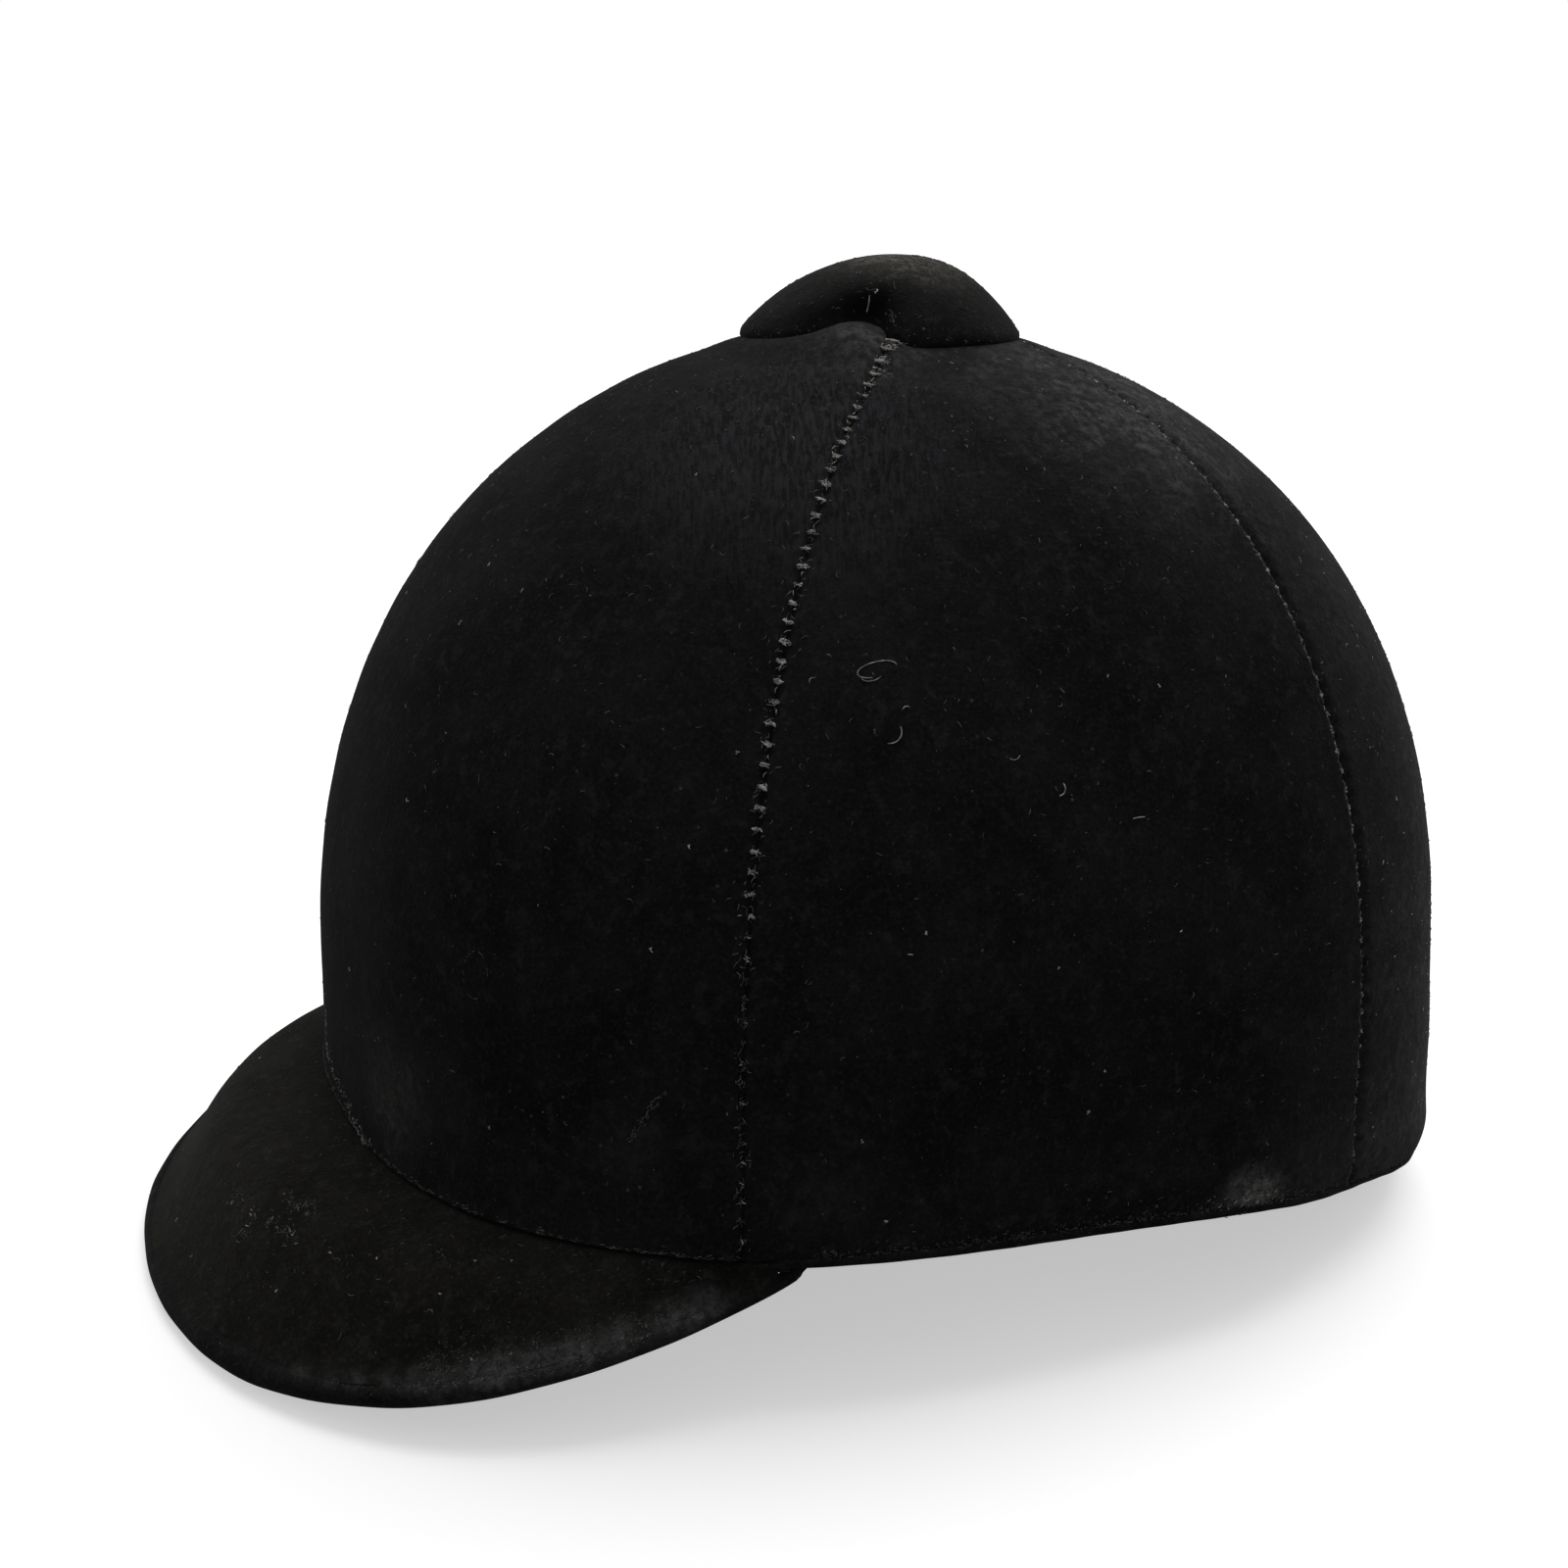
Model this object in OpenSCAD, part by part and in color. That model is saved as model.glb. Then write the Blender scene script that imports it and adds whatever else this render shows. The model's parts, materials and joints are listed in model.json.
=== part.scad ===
// Velvet riding cap with a short visor, a covered crown button and a tucked-up chin harness.
// Front (the visor) points to -X, the wearer's left is -Y, up is +Z.
// The cap rests on Z = 0 on the front of its visor and the back of its rim.
// The origin lies under the middle of the cap's overall length.

/* [Dome] */
// Half of the dome's length at its widest level
half_length = 126; // [118:1:134]
// Half of the dome's width at its widest level
half_width = 107.2; // [100:0.2:114]
// Rise of the crown above the widest level
crown_rise = 140; // [130:1:150]
// Height of the widest level above the table
widest_level = 55.6; // [50:0.2:60]
// Fullness of the crown seen from the side, 2 is an ellipse
crown_power = 2.17; // [2:0.01:2.4]
// Squareness of the outline seen from above, 2 is an ellipse
plan_power = 2.46; // [2.1:0.01:2.7]
// Outward flare below the widest level, as a share over 100 mm
lower_flare = 0.139; // [0:0.005:0.2]

/* [Rim] */
// Height of the rim at the middle of the dome
rim_mid = 29.7; // [27:0.1:33]
// Fall of the rim from the middle to the back, straight part
rim_slope = 7.4; // [5:0.1:9]
// Fall of the rim towards both ends, bowed part
rim_bow = 12.2; // [10:0.1:14]
// Thickness of the folded rim binding
binding_t = 1; // [0.6:0.1:1.6]
// Height of the binding's outer leg above the rim line
binding_outer = 2.2; // [1.5:0.1:4]
// Height of the binding's inner leg above the rim line
binding_inner = 3; // [2:0.1:4]

/* [Seams] */
// Place of the point where the four panels meet, behind the crown's centre
seam_meet = 14.3; // [10:0.1:15]
// Direction of the front seams, measured from the front
front_seam = 48.1; // [44:0.1:54]
// Direction of the rear seams, measured from the front
rear_seam = 117.9; // [110:0.1:124]

/* [Layers] */
// Thickness of the velvet with its pile
velvet_t = 1.5; // [1:0.1:2]
// Thickness of the hard shell
shell_t = 3; // [2:0.1:4]
// Thickness of the impact liner
liner_t = 15; // [12:0.5:18]
// Thickness of the sweatband
sweatband_t = 2; // [1.5:0.1:3]
// Thickness of the comfort pads
pad_t = 5; // [3:0.2:6]
// Clearance between neighbouring layers
layer_gap = 0.3; // [0.2:0.05:0.5]
// Height of the liner's lower edge above the rim line
liner_lift = 14; // [13:0.5:18]
// Height of the sweatband
sweatband_h = 23; // [18:1:30]
// Height of the comfort pads
pad_h = 42; // [30:1:50]
// Width of a comfort pad, as an angle about the dome's centre
pad_span = 44; // [30:1:60]
// Radius of the crown pad
crown_pad_r = 46; // [35:1:52]

/* [Visor] */
// Place of the visor's ends along the rim, ahead of the dome's centre
visor_seat = 61.3; // [58:0.1:66]
// Reach of the visor's edge ahead of its ends
visor_reach = 105.7; // [96:0.1:114]
// Bluntness of the visor's nose, 1 is an ellipse
visor_nose = 0.72; // [0.65:0.01:0.85]
// Fullness of the visor's sides, 1 is an ellipse
visor_side = 0.99; // [0.9:0.01:1.1]
// Dip of the visor's edge between its nose and its ends
visor_dip = 0.7; // [0:0.1:2]
// Fall of the visor's edge from its ends to its nose, below 1 it falls sooner
visor_fall = 0.6; // [0.5:0.01:0.8]
// Crown of the visor between its root and its edge
visor_camber = 11; // [8:0.1:13]
// Lean of that crown towards the visor's edge
camber_lean = 0.52; // [0.3:0.01:0.6]
// Radius of the rolled edge
piping_r = 2.6; // [2:0.1:3.2]
// Thickness of the velvet on top of the visor, measured upright
visor_velvet_t = 1.4; // [1:0.1:2]
// Thickness of the visor's stiff board, measured upright
visor_board_t = 2.8; // [2:0.1:3.5]
// Thickness of the cloth below the visor, measured upright
visor_under_t = 1.2; // [0.8:0.1:2]
// Thinning of the rolled edge towards its ends, as a share of its radius
piping_taper = 0.42; // [0.3:0.01:0.6]
// Height of the visor board's flange inside the shell
visor_flange_h = 12; // [10:0.5:12.5]
// Radius of the visor's rivets
rivet_r = 2; // [1.5:0.1:2.5]

/* [Button] */
// Radius of the covered button
button_r = 31.2; // [28:0.1:34]
// Rise of the covered button
button_h = 17.6; // [14:0.1:21]
// Gap below the button's lower edge, under the top of the crown
button_sink = 1.35; // [1:0.05:1.6]
// Thickness of the velvet over the button
button_velvet_t = 1.3; // [1:0.1:1.8]
// Direction of the arched notch in the button's edge, measured from the front
notch_dir = 57; // [0:1:90]
// Width of the arched notch
notch_w = 17.6; // [12:0.2:20]
// Height of the arched notch
notch_h = 3.3; // [2:0.1:4.5]
// Radius of the crown hole in the shell
crown_hole_r = 16; // [15.5:0.1:17]
// Radius of the hole in the velvet under the button
velvet_hole_r = 18; // [17.8:0.1:20]
// Radius of the liner's vent hole
vent_r = 10; // [8:0.5:12]
// Radius of the button's screw
screw_r = 2.5; // [2:0.1:3]

/* [Harness] */
// Width of the chin strap webbing
web_w = 18; // [15:0.5:20]
// Thickness of the webbing
web_t = 1.6; // [1.2:0.1:2]
// Distance of the strap's pivot inwards from the dome's widest line
strap_inset = 27.2; // [26.5:0.1:29]
// Height of the strap's pivot above the rim line
pivot_lift = 5.5; // [4.5:0.1:6]
// Radius of the strap's pivot pins
pin_r = 3; // [2:0.1:3.5]
// Lean of the strap's straight run
lean = 15; // [12:0.5:18]
// Length of the strap's straight run
lean_run = 32; // [30:0.5:34]
// Width of the steel strap hangers
hanger_w = 20; // [16:0.5:22]
// Thickness of the steel strap hangers
hanger_t = 1.5; // [1:0.1:2]
// Tip of the stored strap towards the back of the crown
tuck_back = 8; // [0:1:12]
// Length of a strap slider along the webbing
slider_l = 9; // [7:0.5:10]
// Length of the buckle's socket
socket_l = 28; // [25:0.5:30]
// Length of the buckle's plug outside the socket
plug_l = 13; // [11:0.5:15]
// Length of the chin pad along the strap, as an angle
chin_pad_span = 36; // [30:1:40]

/* [Smoothness] */
// Columns of facets in the front panel
front_cols = 12; // [8:2:16]
// Columns of facets in each side panel
side_cols = 8; // [6:1:12]
// Columns of facets in the rear panel
rear_cols = 14; // [10:2:18]
// Rows of facets from the rim to the crown
dome_rows = 15; // [10:1:18]

/* [Hidden] */
$fn = 48;

// Depths of the layers below the velvet's surface
shell_out = velvet_t + layer_gap;
shell_in = shell_out + shell_t;
liner_out = shell_in + 2 * layer_gap;
liner_in = liner_out + liner_t;
band_out = liner_in + layer_gap;
band_in = band_out + sweatband_t;
pad_out = liner_in + 3 * layer_gap;
pad_in = pad_out + pad_t;

// Running clearance, touching clearance and overrun of a cut
fit = 0.15;
touch = 0.05;
over = 1;
drill_l = 30;
binding_proud = 0.2;

// The dome: a superellipse in plan, drawn in towards the crown and flared below its widest level
function section(z, d) = z > widest_level
    ? pow(max(0, 1 - pow((z - widest_level) / (crown_rise - d), crown_power)), 1 / crown_power)
    : 1 + lower_flare * pow((widest_level - z) / 100, 2);
function plan(x, y, d) = pow(pow(abs(x) / (half_length - d), plan_power)
    + pow(abs(y) / (half_width - d), plan_power), 1 / plan_power);
function inside(p, d) = plan(p[0], p[1], d) < section(p[2], d);
function side_reach(x, z, d) = (half_width - d) * pow(max(0, pow(section(z, d), plan_power)
    - pow(abs(x) / (half_length - d), plan_power)), 1 / plan_power);
function top_level(d) = widest_level + crown_rise - d;

// Height of the rim line: its rear end meets the table under the binding
heel_u = section(0, 0) * (half_length + binding_proud) / half_length;
rim_hook = (rim_mid - rim_slope * heel_u - rim_bow * pow(heel_u, 2) - binding_t) / pow(heel_u, 3);
function rim_z(x) = let (u = x / half_length)
    rim_mid - rim_slope * u - rim_bow * u * u - rim_hook * u * u * u;

// Points of the dome along rays from the pole, a point on the upright line where the seams meet
pole_level = 60;
reach_limit = 220;
halvings = 18;
pole = [seam_meet, 0, pole_level];
function ray(dir, rise) = [-cos(dir) * cos(rise), -sin(dir) * cos(rise), sin(rise)];
function seek(v, d, a, b, k) = let (mid = (a + b) / 2)
    k == 0 ? mid : inside(pole + v * mid, d) ? seek(v, d, mid, b, k - 1) : seek(v, d, a, mid, k - 1);
function skin(dir, rise, d) = let (v = ray(dir, rise)) pole + v * seek(v, d, 0, reach_limit, halvings);

// Points of the dome at a height above the rim line
function at_rim(dir, lift, rho) = let (x = seam_meet - rho * cos(dir))
    [x, -rho * sin(dir), rim_z(x) + lift];
function seek_rim(dir, d, lift, a, b, k) = let (mid = (a + b) / 2) k == 0 ? at_rim(dir, lift, mid)
    : inside(at_rim(dir, lift, mid), d) ? seek_rim(dir, d, lift, mid, b, k - 1)
    : seek_rim(dir, d, lift, a, mid, k - 1);
function rim_point(dir, d, lift) = seek_rim(dir, d, lift, 0, reach_limit, halvings);
function rise_of(p) = atan2(p[2] - pole[2], norm([p[0] - pole[0], p[1] - pole[1]]));

// Directions of the facet columns, with the seams on column lines
function steps(a, b, n) = [for (i = [0:n]) a + (b - a) * i / n];
function drop_last(v) = [for (i = [0:len(v) - 2]) v[i]];
around = concat(drop_last(steps(-front_seam, front_seam, front_cols)),
    drop_last(steps(front_seam, rear_seam, side_cols)),
    drop_last(steps(rear_seam, 360 - rear_seam, rear_cols)),
    drop_last(steps(360 - rear_seam, 360 - front_seam, side_cols)));

// Grids: a list of columns, each a list of points from the lower edge upwards
function dome_grid(dirs, d, lift, rows) = [for (dir = dirs) let (lo = rise_of(rim_point(dir, d, lift)))
    [for (j = [0:rows]) skin(dir, lo + (90 - lo) * j / rows, d)]];
function band_grid(dirs, d, lifts) = [for (dir = dirs) [for (h = lifts) rim_point(dir, d, h)]];
function flat(grid) = [for (col = grid) for (p = col) p];

// A closed solid between two grids; ring says that the last column joins the first
module slab(outer, inner, ring) {
    cols = len(outer);
    rows = len(outer[0]);
    half = cols * rows;
    last = ring ? cols - 1 : cols - 2;
    function id(i, j) = (i % cols) * rows + j;
    function quad(a, b, c, d) = [[a, b, c], [a, c, d]];
    faces = concat(
        [for (i = [0:last]) for (j = [0:rows - 2]) for (f = quad(id(i, j), id(i, j + 1),
            id(i + 1, j + 1), id(i + 1, j))) f],
        [for (i = [0:last]) for (j = [0:rows - 2]) for (f = quad(half + id(i, j), half + id(i + 1, j),
            half + id(i + 1, j + 1), half + id(i, j + 1))) f],
        [for (i = [0:last]) for (f = quad(id(i, 0), id(i + 1, 0), half + id(i + 1, 0),
            half + id(i, 0))) f],
        [for (i = [0:last]) for (f = quad(id(i + 1, rows - 1), id(i, rows - 1),
            half + id(i, rows - 1), half + id(i + 1, rows - 1))) f],
        ring ? [] : [for (j = [0:rows - 2]) for (f = quad(id(0, j + 1), id(0, j), half + id(0, j),
            half + id(0, j + 1))) f],
        ring ? [] : [for (j = [0:rows - 2]) for (f = quad(id(cols - 1, j), id(cols - 1, j + 1),
            half + id(cols - 1, j + 1), half + id(cols - 1, j))) f]);
    polyhedron(concat(flat(outer), flat(inner)), faces);
}

// A closed tube through rings of points, joined end to end or capped
module tube(rings, ring) {
    n = len(rings);
    m = len(rings[0]);
    last = ring ? n - 1 : n - 2;
    faces = concat(
        [for (i = [0:last]) for (j = [0:m - 1]) for (f = [
            [i * m + j, i * m + (j + 1) % m, ((i + 1) % n) * m + (j + 1) % m],
            [i * m + j, ((i + 1) % n) * m + (j + 1) % m, ((i + 1) % n) * m + j]]) f],
        ring ? [] : [[for (j = [0:m - 1]) m - 1 - j], [for (j = [0:m - 1]) (n - 1) * m + j]]);
    polyhedron(flat(rings), faces);
}

// The cap's overall middle lies over the origin
heel_x = rim_point(180, -binding_proud, -binding_t)[0];
nose_x = -visor_seat - visor_reach - piping_r;
module place() translate([-(heel_x + nose_x) / 2, 0, 0]) children();

// Dome layers

// Stops the last row just short of the pole line, inside the crown hole
tip_share = 0.02;
function closed_top(grid) = [for (col = grid) [for (j = [0:len(col) - 1]) j < len(col) - 1
    ? col[j] : [pole[0] + (col[j - 1][0] - pole[0]) * tip_share, col[j - 1][1] * tip_share, col[j][2]]]];

module dome_layer(d_out, d_in, lift) slab(closed_top(dome_grid(around, d_out, lift, dome_rows)),
    closed_top(dome_grid(around, d_in, lift, dome_rows)), true);

rivet_dirs = [-34, 0, 34];
rivet_lift = 8;
rivet_head_r = 3.3;
rivet_head_t = 1.2;
rivet_gap = 0.2;
flange_out = shell_in + binding_t + 3 * layer_gap;
flange_t = 2.2;
flange_in = flange_out + flange_t;
rivet_grip = flange_in - shell_out - layer_gap;
// A visor rivet's axis points inwards from the flange's inner face, square to the shell
function inward(dir) = let (t = rim_point(dir + 1, flange_in, rivet_lift)
    - rim_point(dir - 1, flange_in, rivet_lift)) atan2(t[0], -t[1]);
module rivet_axis(dir) translate(rim_point(dir, flange_in + rivet_gap, rivet_lift))
    rotate([0, 0, inward(dir)]) rotate([0, 90, 0]) children();
module rivet_drill(dir) rivet_axis(dir)
    translate([0, 0, -drill_l / 2]) cylinder(r = rivet_r + fit, h = drill_l);
hanger_rivet_lift = 7.4;

module hard_shell() color("#22252b") place() difference() {
    dome_layer(shell_out, shell_in, layer_gap);
    translate([0, 0, top_level(0) - drill_l / 2]) cylinder(r = crown_hole_r, h = drill_l);
    for (dir = rivet_dirs) rivet_drill(dir);
    for (s = [-1, 1]) translate([0, s * half_width, rim_mid + hanger_rivet_lift])
        rotate([90, 0, 0]) cylinder(r = rivet_r + fit, h = drill_l, center = true);
}

module velvet_panel(from, to, cols) color("#101114") place() difference() {
    slab(closed_top(dome_grid(steps(from, to, cols), 0, binding_outer + layer_gap, dome_rows)),
        closed_top(dome_grid(steps(from, to, cols), velvet_t, binding_outer + layer_gap,
            dome_rows)), false);
    translate([0, 0, top_level(0) - drill_l / 2]) cylinder(r = velvet_hole_r, h = drill_l);
}
module front_velvet_panel() velvet_panel(-front_seam, front_seam, front_cols);
module left_velvet_panel() velvet_panel(front_seam, rear_seam, side_cols);
module right_velvet_panel() velvet_panel(-rear_seam, -front_seam, side_cols);
module rear_velvet_panel() velvet_panel(rear_seam, 360 - rear_seam, rear_cols);

// The binding is folded round the shell's lower edge
binding_fold = [[-binding_proud, -binding_t], [-binding_proud, binding_outer],
    [velvet_t - binding_proud, binding_outer], [velvet_t - binding_proud, 0],
    [shell_in + layer_gap, 0], [shell_in + layer_gap, binding_inner],
    [shell_in + layer_gap + binding_t, binding_inner], [shell_in + layer_gap + binding_t, -binding_t]];
module rim_binding() color("#17181c") place()
    tube([for (dir = around) [for (q = binding_fold) rim_point(dir, q[0], q[1])]], true);

// Visor

seat_depth = 3;
taper_from = 50;
piping_sides = 8;
piping_rings = 40;
function piping_radius(a) = piping_r * (1 - piping_taper * pow(max(0, (abs(a) - taper_from)
    / (90 - taper_from)), 2));
seat_y = side_reach(visor_seat, rim_z(-visor_seat), seat_depth);
visor_stack = visor_velvet_t + visor_board_t + visor_under_t + 2 * layer_gap;
seat_z = rim_z(-visor_seat) - binding_t - layer_gap - piping_radius(90) / cos(180 / piping_sides);
seat_dir = atan2(seat_y, seam_meet + visor_seat);
function taper(a) = piping_radius(a) / piping_r;
function visor_root_lift(a) = -binding_t - layer_gap - visor_stack / 2 * taper(a);
visor_root_depth = 2;
visor_end = 82;
piping_end = 85;
visor_cols = 28;
visor_rows = 8;
function edge_point(a) = [-visor_seat - visor_reach * pow(max(0, cos(a)), visor_nose),
    -sign(a) * seat_y * pow(abs(sin(a)), visor_side),
    seat_z + (piping_r - seat_z) * pow(max(0, cos(a)), visor_fall) - visor_dip * pow(sin(2 * a), 2)];
function root_point(a) = rim_point(seat_dir * a / 90, visor_root_depth, visor_root_lift(a));
function unit(v) = v / norm(v);
function bow(s) = 4 * s * (1 - s) * (1 - camber_lean * (1 - 2 * s));
function edge_way(a) = unit(edge_point(a + 0.5) - edge_point(a - 0.5));
function edge_outward(a) = unit(cross(edge_way(a), [0, 0, 1]));
// The sheets stop short of the rolled edge, square to it
function visor_point(a, s, up) = let (r = root_point(a), e0 = edge_point(a),
    climb = (r[2] - e0[2]) / norm([e0[0] - r[0], e0[1] - r[1]]),
    e = e0 + ([0, 0, climb] - edge_outward(a)) * (piping_radius(a) / cos(180 / piping_sides)
        + 2 * layer_gap))
    r + (e - r) * s + [0, 0, visor_camber * cos(a) * bow(s) + up * taper(a)];
function visor_grid(up) = [for (a = steps(-visor_end, visor_end, visor_cols))
    [for (s = steps(0, 1, visor_rows)) visor_point(a, s, up)]];
velvet_low = visor_stack / 2 - visor_velvet_t;
board_high = velvet_low - layer_gap;
board_low = board_high - visor_board_t;
under_high = board_low - layer_gap;

// The board runs in under the rim and turns up inside the shell
function flange_rows(a, d, up) = let (dir = seat_dir * a / 90)
    [rim_point(dir, d, visor_flange_h), rim_point(dir, d, visor_root_lift(a) + up * taper(a))];
function board_grid(d, up) = [for (a = steps(-visor_end, visor_end, visor_cols))
    concat(flange_rows(a, d, up), [for (s = steps(0, 1, visor_rows)) visor_point(a, s, up)])];

module visor_board() color("#2c2f33") place() difference() {
    slab(board_grid(flange_in, board_low), board_grid(flange_out, board_high), false);
    for (dir = rivet_dirs) rivet_drill(dir);
}
module visor_top_velvet() color("#1d1e22") place()
    slab(visor_grid(velvet_low), visor_grid(visor_stack / 2), false);
module visor_underlay() color("#131417") place()
    slab(visor_grid(-visor_stack / 2), visor_grid(under_high), false);

// The rolled edge is an eight-sided tube with a flat below
function ring_at(a) = let (o = edge_outward(a), n = cross(o, edge_way(a)))
    [for (k = [0:piping_sides - 1]) let (w = (k + 0.5) * 360 / piping_sides)
        edge_point(a) + (o * cos(w) + n * sin(w)) * piping_radius(a) / cos(180 / piping_sides)];
module visor_piping() color("#1a1b1e") place()
    tube([for (a = steps(-piping_end, piping_end, piping_rings)) ring_at(a)], false);

module visor_rivets() color("#b7b9bc") place() for (dir = rivet_dirs) rivet_axis(dir) {
        translate([0, 0, -rivet_grip]) cylinder(r = rivet_r, h = rivet_grip + rivet_head_t);
        cylinder(r = rivet_head_r, h = rivet_head_t);
    }

// Liner and padding

module impact_liner() color("#2a2a2c") place() difference() {
    dome_layer(liner_out, liner_in, liner_lift);
    translate([0, 0, top_level(liner_in) - drill_l / 2])
        cylinder(r = crown_hole_r + liner_hole_spare, h = liner_t + drill_l);
}
liner_hole_spare = 2;
pad_cols = 6;
pad_rows = 4;
band_lift = liner_lift + 0.5;
module sweatband() color("#1f1c1a") place()
    slab(band_grid(around, band_out, [band_lift, band_lift + sweatband_h]),
        band_grid(around, band_in, [band_lift, band_lift + sweatband_h]), true);
pad_lift = band_lift + sweatband_h + 1;
side_pad_dir = 86;
function pad_grid(dir, d) = band_grid(steps(dir - pad_span / 2, dir + pad_span / 2, pad_cols), d,
    steps(pad_lift, pad_lift + pad_h, pad_rows));
module comfort_pad(dir) color("#26262a") place() slab(pad_grid(dir, pad_out), pad_grid(dir, pad_in), false);
module brow_pad() comfort_pad(0);
module left_side_pad() comfort_pad(side_pad_dir);
module nape_pad() comfort_pad(180);
module right_side_pad() comfort_pad(-side_pad_dir);
// Height of a dome layer over a point near the crown
function crown_level(r, a, d) = widest_level + (crown_rise - d)
    * pow(1 - pow(plan(r * cos(a), r * sin(a), d), crown_power), 1 / crown_power);
crown_pad_cols = 16;
function disc(d) = [for (a = drop_last(steps(0, 360, crown_pad_cols)))
    [for (r = steps(crown_pad_r, vent_r, pad_rows)) [-r * cos(a), -r * sin(a), crown_level(r, a, d)]]];
module crown_pad() color("#26262a") place() slab(disc(pad_out), disc(pad_in), true);

// Crown vent and button

button_base = top_level(0) - button_sink;
grommet_seat = top_level(shell_out) + 2 * touch;
grommet_lip = 1;
grommet_low = grommet_seat - shell_t - 2;
barrel_r = crown_hole_r - fit;
barrel_t = 1.5;
hub_r = 6;
hub_h = 6.5;
hub_top = button_base + button_velvet_t + fit;
hub_low = hub_top - hub_h;
spoke = 3;
washer_r = 5;
washer_t = 1;
washer_low = hub_low - touch - washer_t;
screw_grip = 9;
screw_head_r = 4.4;
screw_head_t = 2.4;
screw_low = washer_low - touch - screw_head_t;
slot_w = 1;

// A ring held in the shell's crown hole, with a hub on three spokes for the button's screw
module crown_grommet() color("#3a3c40") place() {
    difference() {
        union() {
            translate([0, 0, grommet_seat]) cylinder(r = velvet_hole_r - 2 * fit, h = grommet_lip);
            translate([0, 0, grommet_low]) cylinder(r = barrel_r, h = grommet_seat - grommet_low + touch);
        }
        translate([0, 0, grommet_low - over]) cylinder(r = barrel_r - barrel_t, h = drill_l);
    }
    difference() {
        union() {
            translate([0, 0, hub_low]) cylinder(r = hub_r, h = hub_h);
            for (a = [30, 150, 270]) rotate([0, 0, a]) translate([0, -spoke / 2, hub_low + over])
                cube([barrel_r - barrel_t / 2, spoke, spoke]);
        }
        translate([0, 0, hub_low - over]) cylinder(r = screw_r + fit, h = hub_h + 2 * over);
    }
}

// Points of the button's half outline, a full dome that rounds over at its edge
outline_steps = 16;
outline_crowding = 1.6;
edge_power = 1.18;
top_power = 2.07;
function button_outline(t) = concat([[0, button_base + button_h - t]], [for (i = [1:outline_steps])
    let (u = pow(1 - i / outline_steps, outline_crowding)) [(button_r - t) * pow(1 - pow(u, edge_power),
        1 / top_power), button_base + t + (button_h - 2 * t) * u]]);
module button_solid(t) rotate_extrude($fn = 64)
    polygon(concat(button_outline(t), [[0, button_base + t]]));
notch_r = (pow(notch_w / 2, 2) + pow(notch_h, 2)) / (2 * notch_h);
notch_depth = 12;
module notch(grow) rotate([0, 0, notch_dir])
    translate([-button_r - over, 0, button_base + notch_h - notch_r])
        rotate([0, 90, 0]) cylinder(r = notch_r + grow, h = notch_depth);

// The cover's velvet is turned in under the button's edge
turn_in = 8;
seat_edge = 9;
module button_velvet() color("#121317") place() difference() {
    button_solid(0);
    button_solid(button_velvet_t);
    translate([0, 0, button_base - over])
        cylinder(r = button_r - turn_in, h = over + button_velvet_t + fit);
    notch(0);
}
module button_core() color("#33353a") place() difference() {
    button_solid(button_velvet_t + fit);
    translate([0, 0, hub_top - over]) cylinder(r = button_r - seat_edge, h = over + fit);
    translate([0, 0, hub_top - over]) cylinder(r = screw_r + fit, h = screw_grip + 2 * over);
    notch(button_velvet_t);
}
module screw_washer() color("#9ea2a6") place() difference() {
    translate([0, 0, washer_low]) cylinder(r = washer_r, h = washer_t);
    translate([0, 0, washer_low - over]) cylinder(r = screw_r + fit, h = washer_t + 2 * over);
}
module button_screw() color("#9ea2a6") place() difference() {
    union() {
        translate([0, 0, screw_low]) cylinder(r = screw_head_r, h = screw_head_t);
        translate([0, 0, screw_low + slot_w])
            cylinder(r = screw_r, h = hub_top + screw_grip - screw_low - slot_w);
    }
    translate([-screw_head_r, -slot_w / 2, screw_low - over])
        cube([2 * screw_head_r, slot_w, slot_w + over]);
}

// Harness

strap_y = half_width - strap_inset;
pivot_z = rim_mid + pivot_lift;
hanger_z = rim_mid + liner_lift - hanger_t + touch * 2;
hanger_face = strap_y + web_t / 2 + layer_gap;
hanger_wall = side_reach(hanger_w / 2, hanger_z, shell_in) - layer_gap;
foot_gap = 0.8;
hanger_foot = rim_mid + binding_inner + foot_gap;
hanger_drop = 6.5;
hanger_low = pivot_z - hanger_drop;
pin_head_r = 5.2;
pin_head_t = 1.2;
pin_in = strap_y - web_t / 2 - layer_gap;
pin_out = hanger_face + hanger_t + touch;

// Side pieces are drawn on the wearer's left, towards -Y, and mirrored for the right
module on_side(s) {
    if (s > 0) mirror([0, 1, 0]) children();
    else children();
}
module strap_hanger(s) color("#8d9196") place() on_side(s) difference() {
    union() {
        translate([-hanger_w / 2, -hanger_wall, hanger_foot])
            cube([hanger_w, hanger_t, hanger_z - hanger_foot]);
        translate([-hanger_w / 2, -hanger_wall, hanger_z - hanger_t])
            cube([hanger_w, hanger_wall - hanger_face, hanger_t]);
        translate([-hanger_w / 2, -hanger_face - hanger_t, hanger_low])
            cube([hanger_w, hanger_t, hanger_z - hanger_low]);
    }
    translate([0, -hanger_face + over, pivot_z]) rotate([90, 0, 0])
        cylinder(r = pin_r + fit, h = hanger_t + 2 * over);
    translate([0, -hanger_wall - over, rim_mid + hanger_rivet_lift]) rotate([-90, 0, 0])
        cylinder(r = rivet_r + fit, h = hanger_t + 2 * over);
}
module left_strap_hanger() strap_hanger(-1);
module right_strap_hanger() strap_hanger(1);
hanger_head = hanger_wall - hanger_t - touch;
hanger_rivet_l = side_reach(0, rim_mid, shell_out) - hanger_head - 2 * layer_gap;
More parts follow.
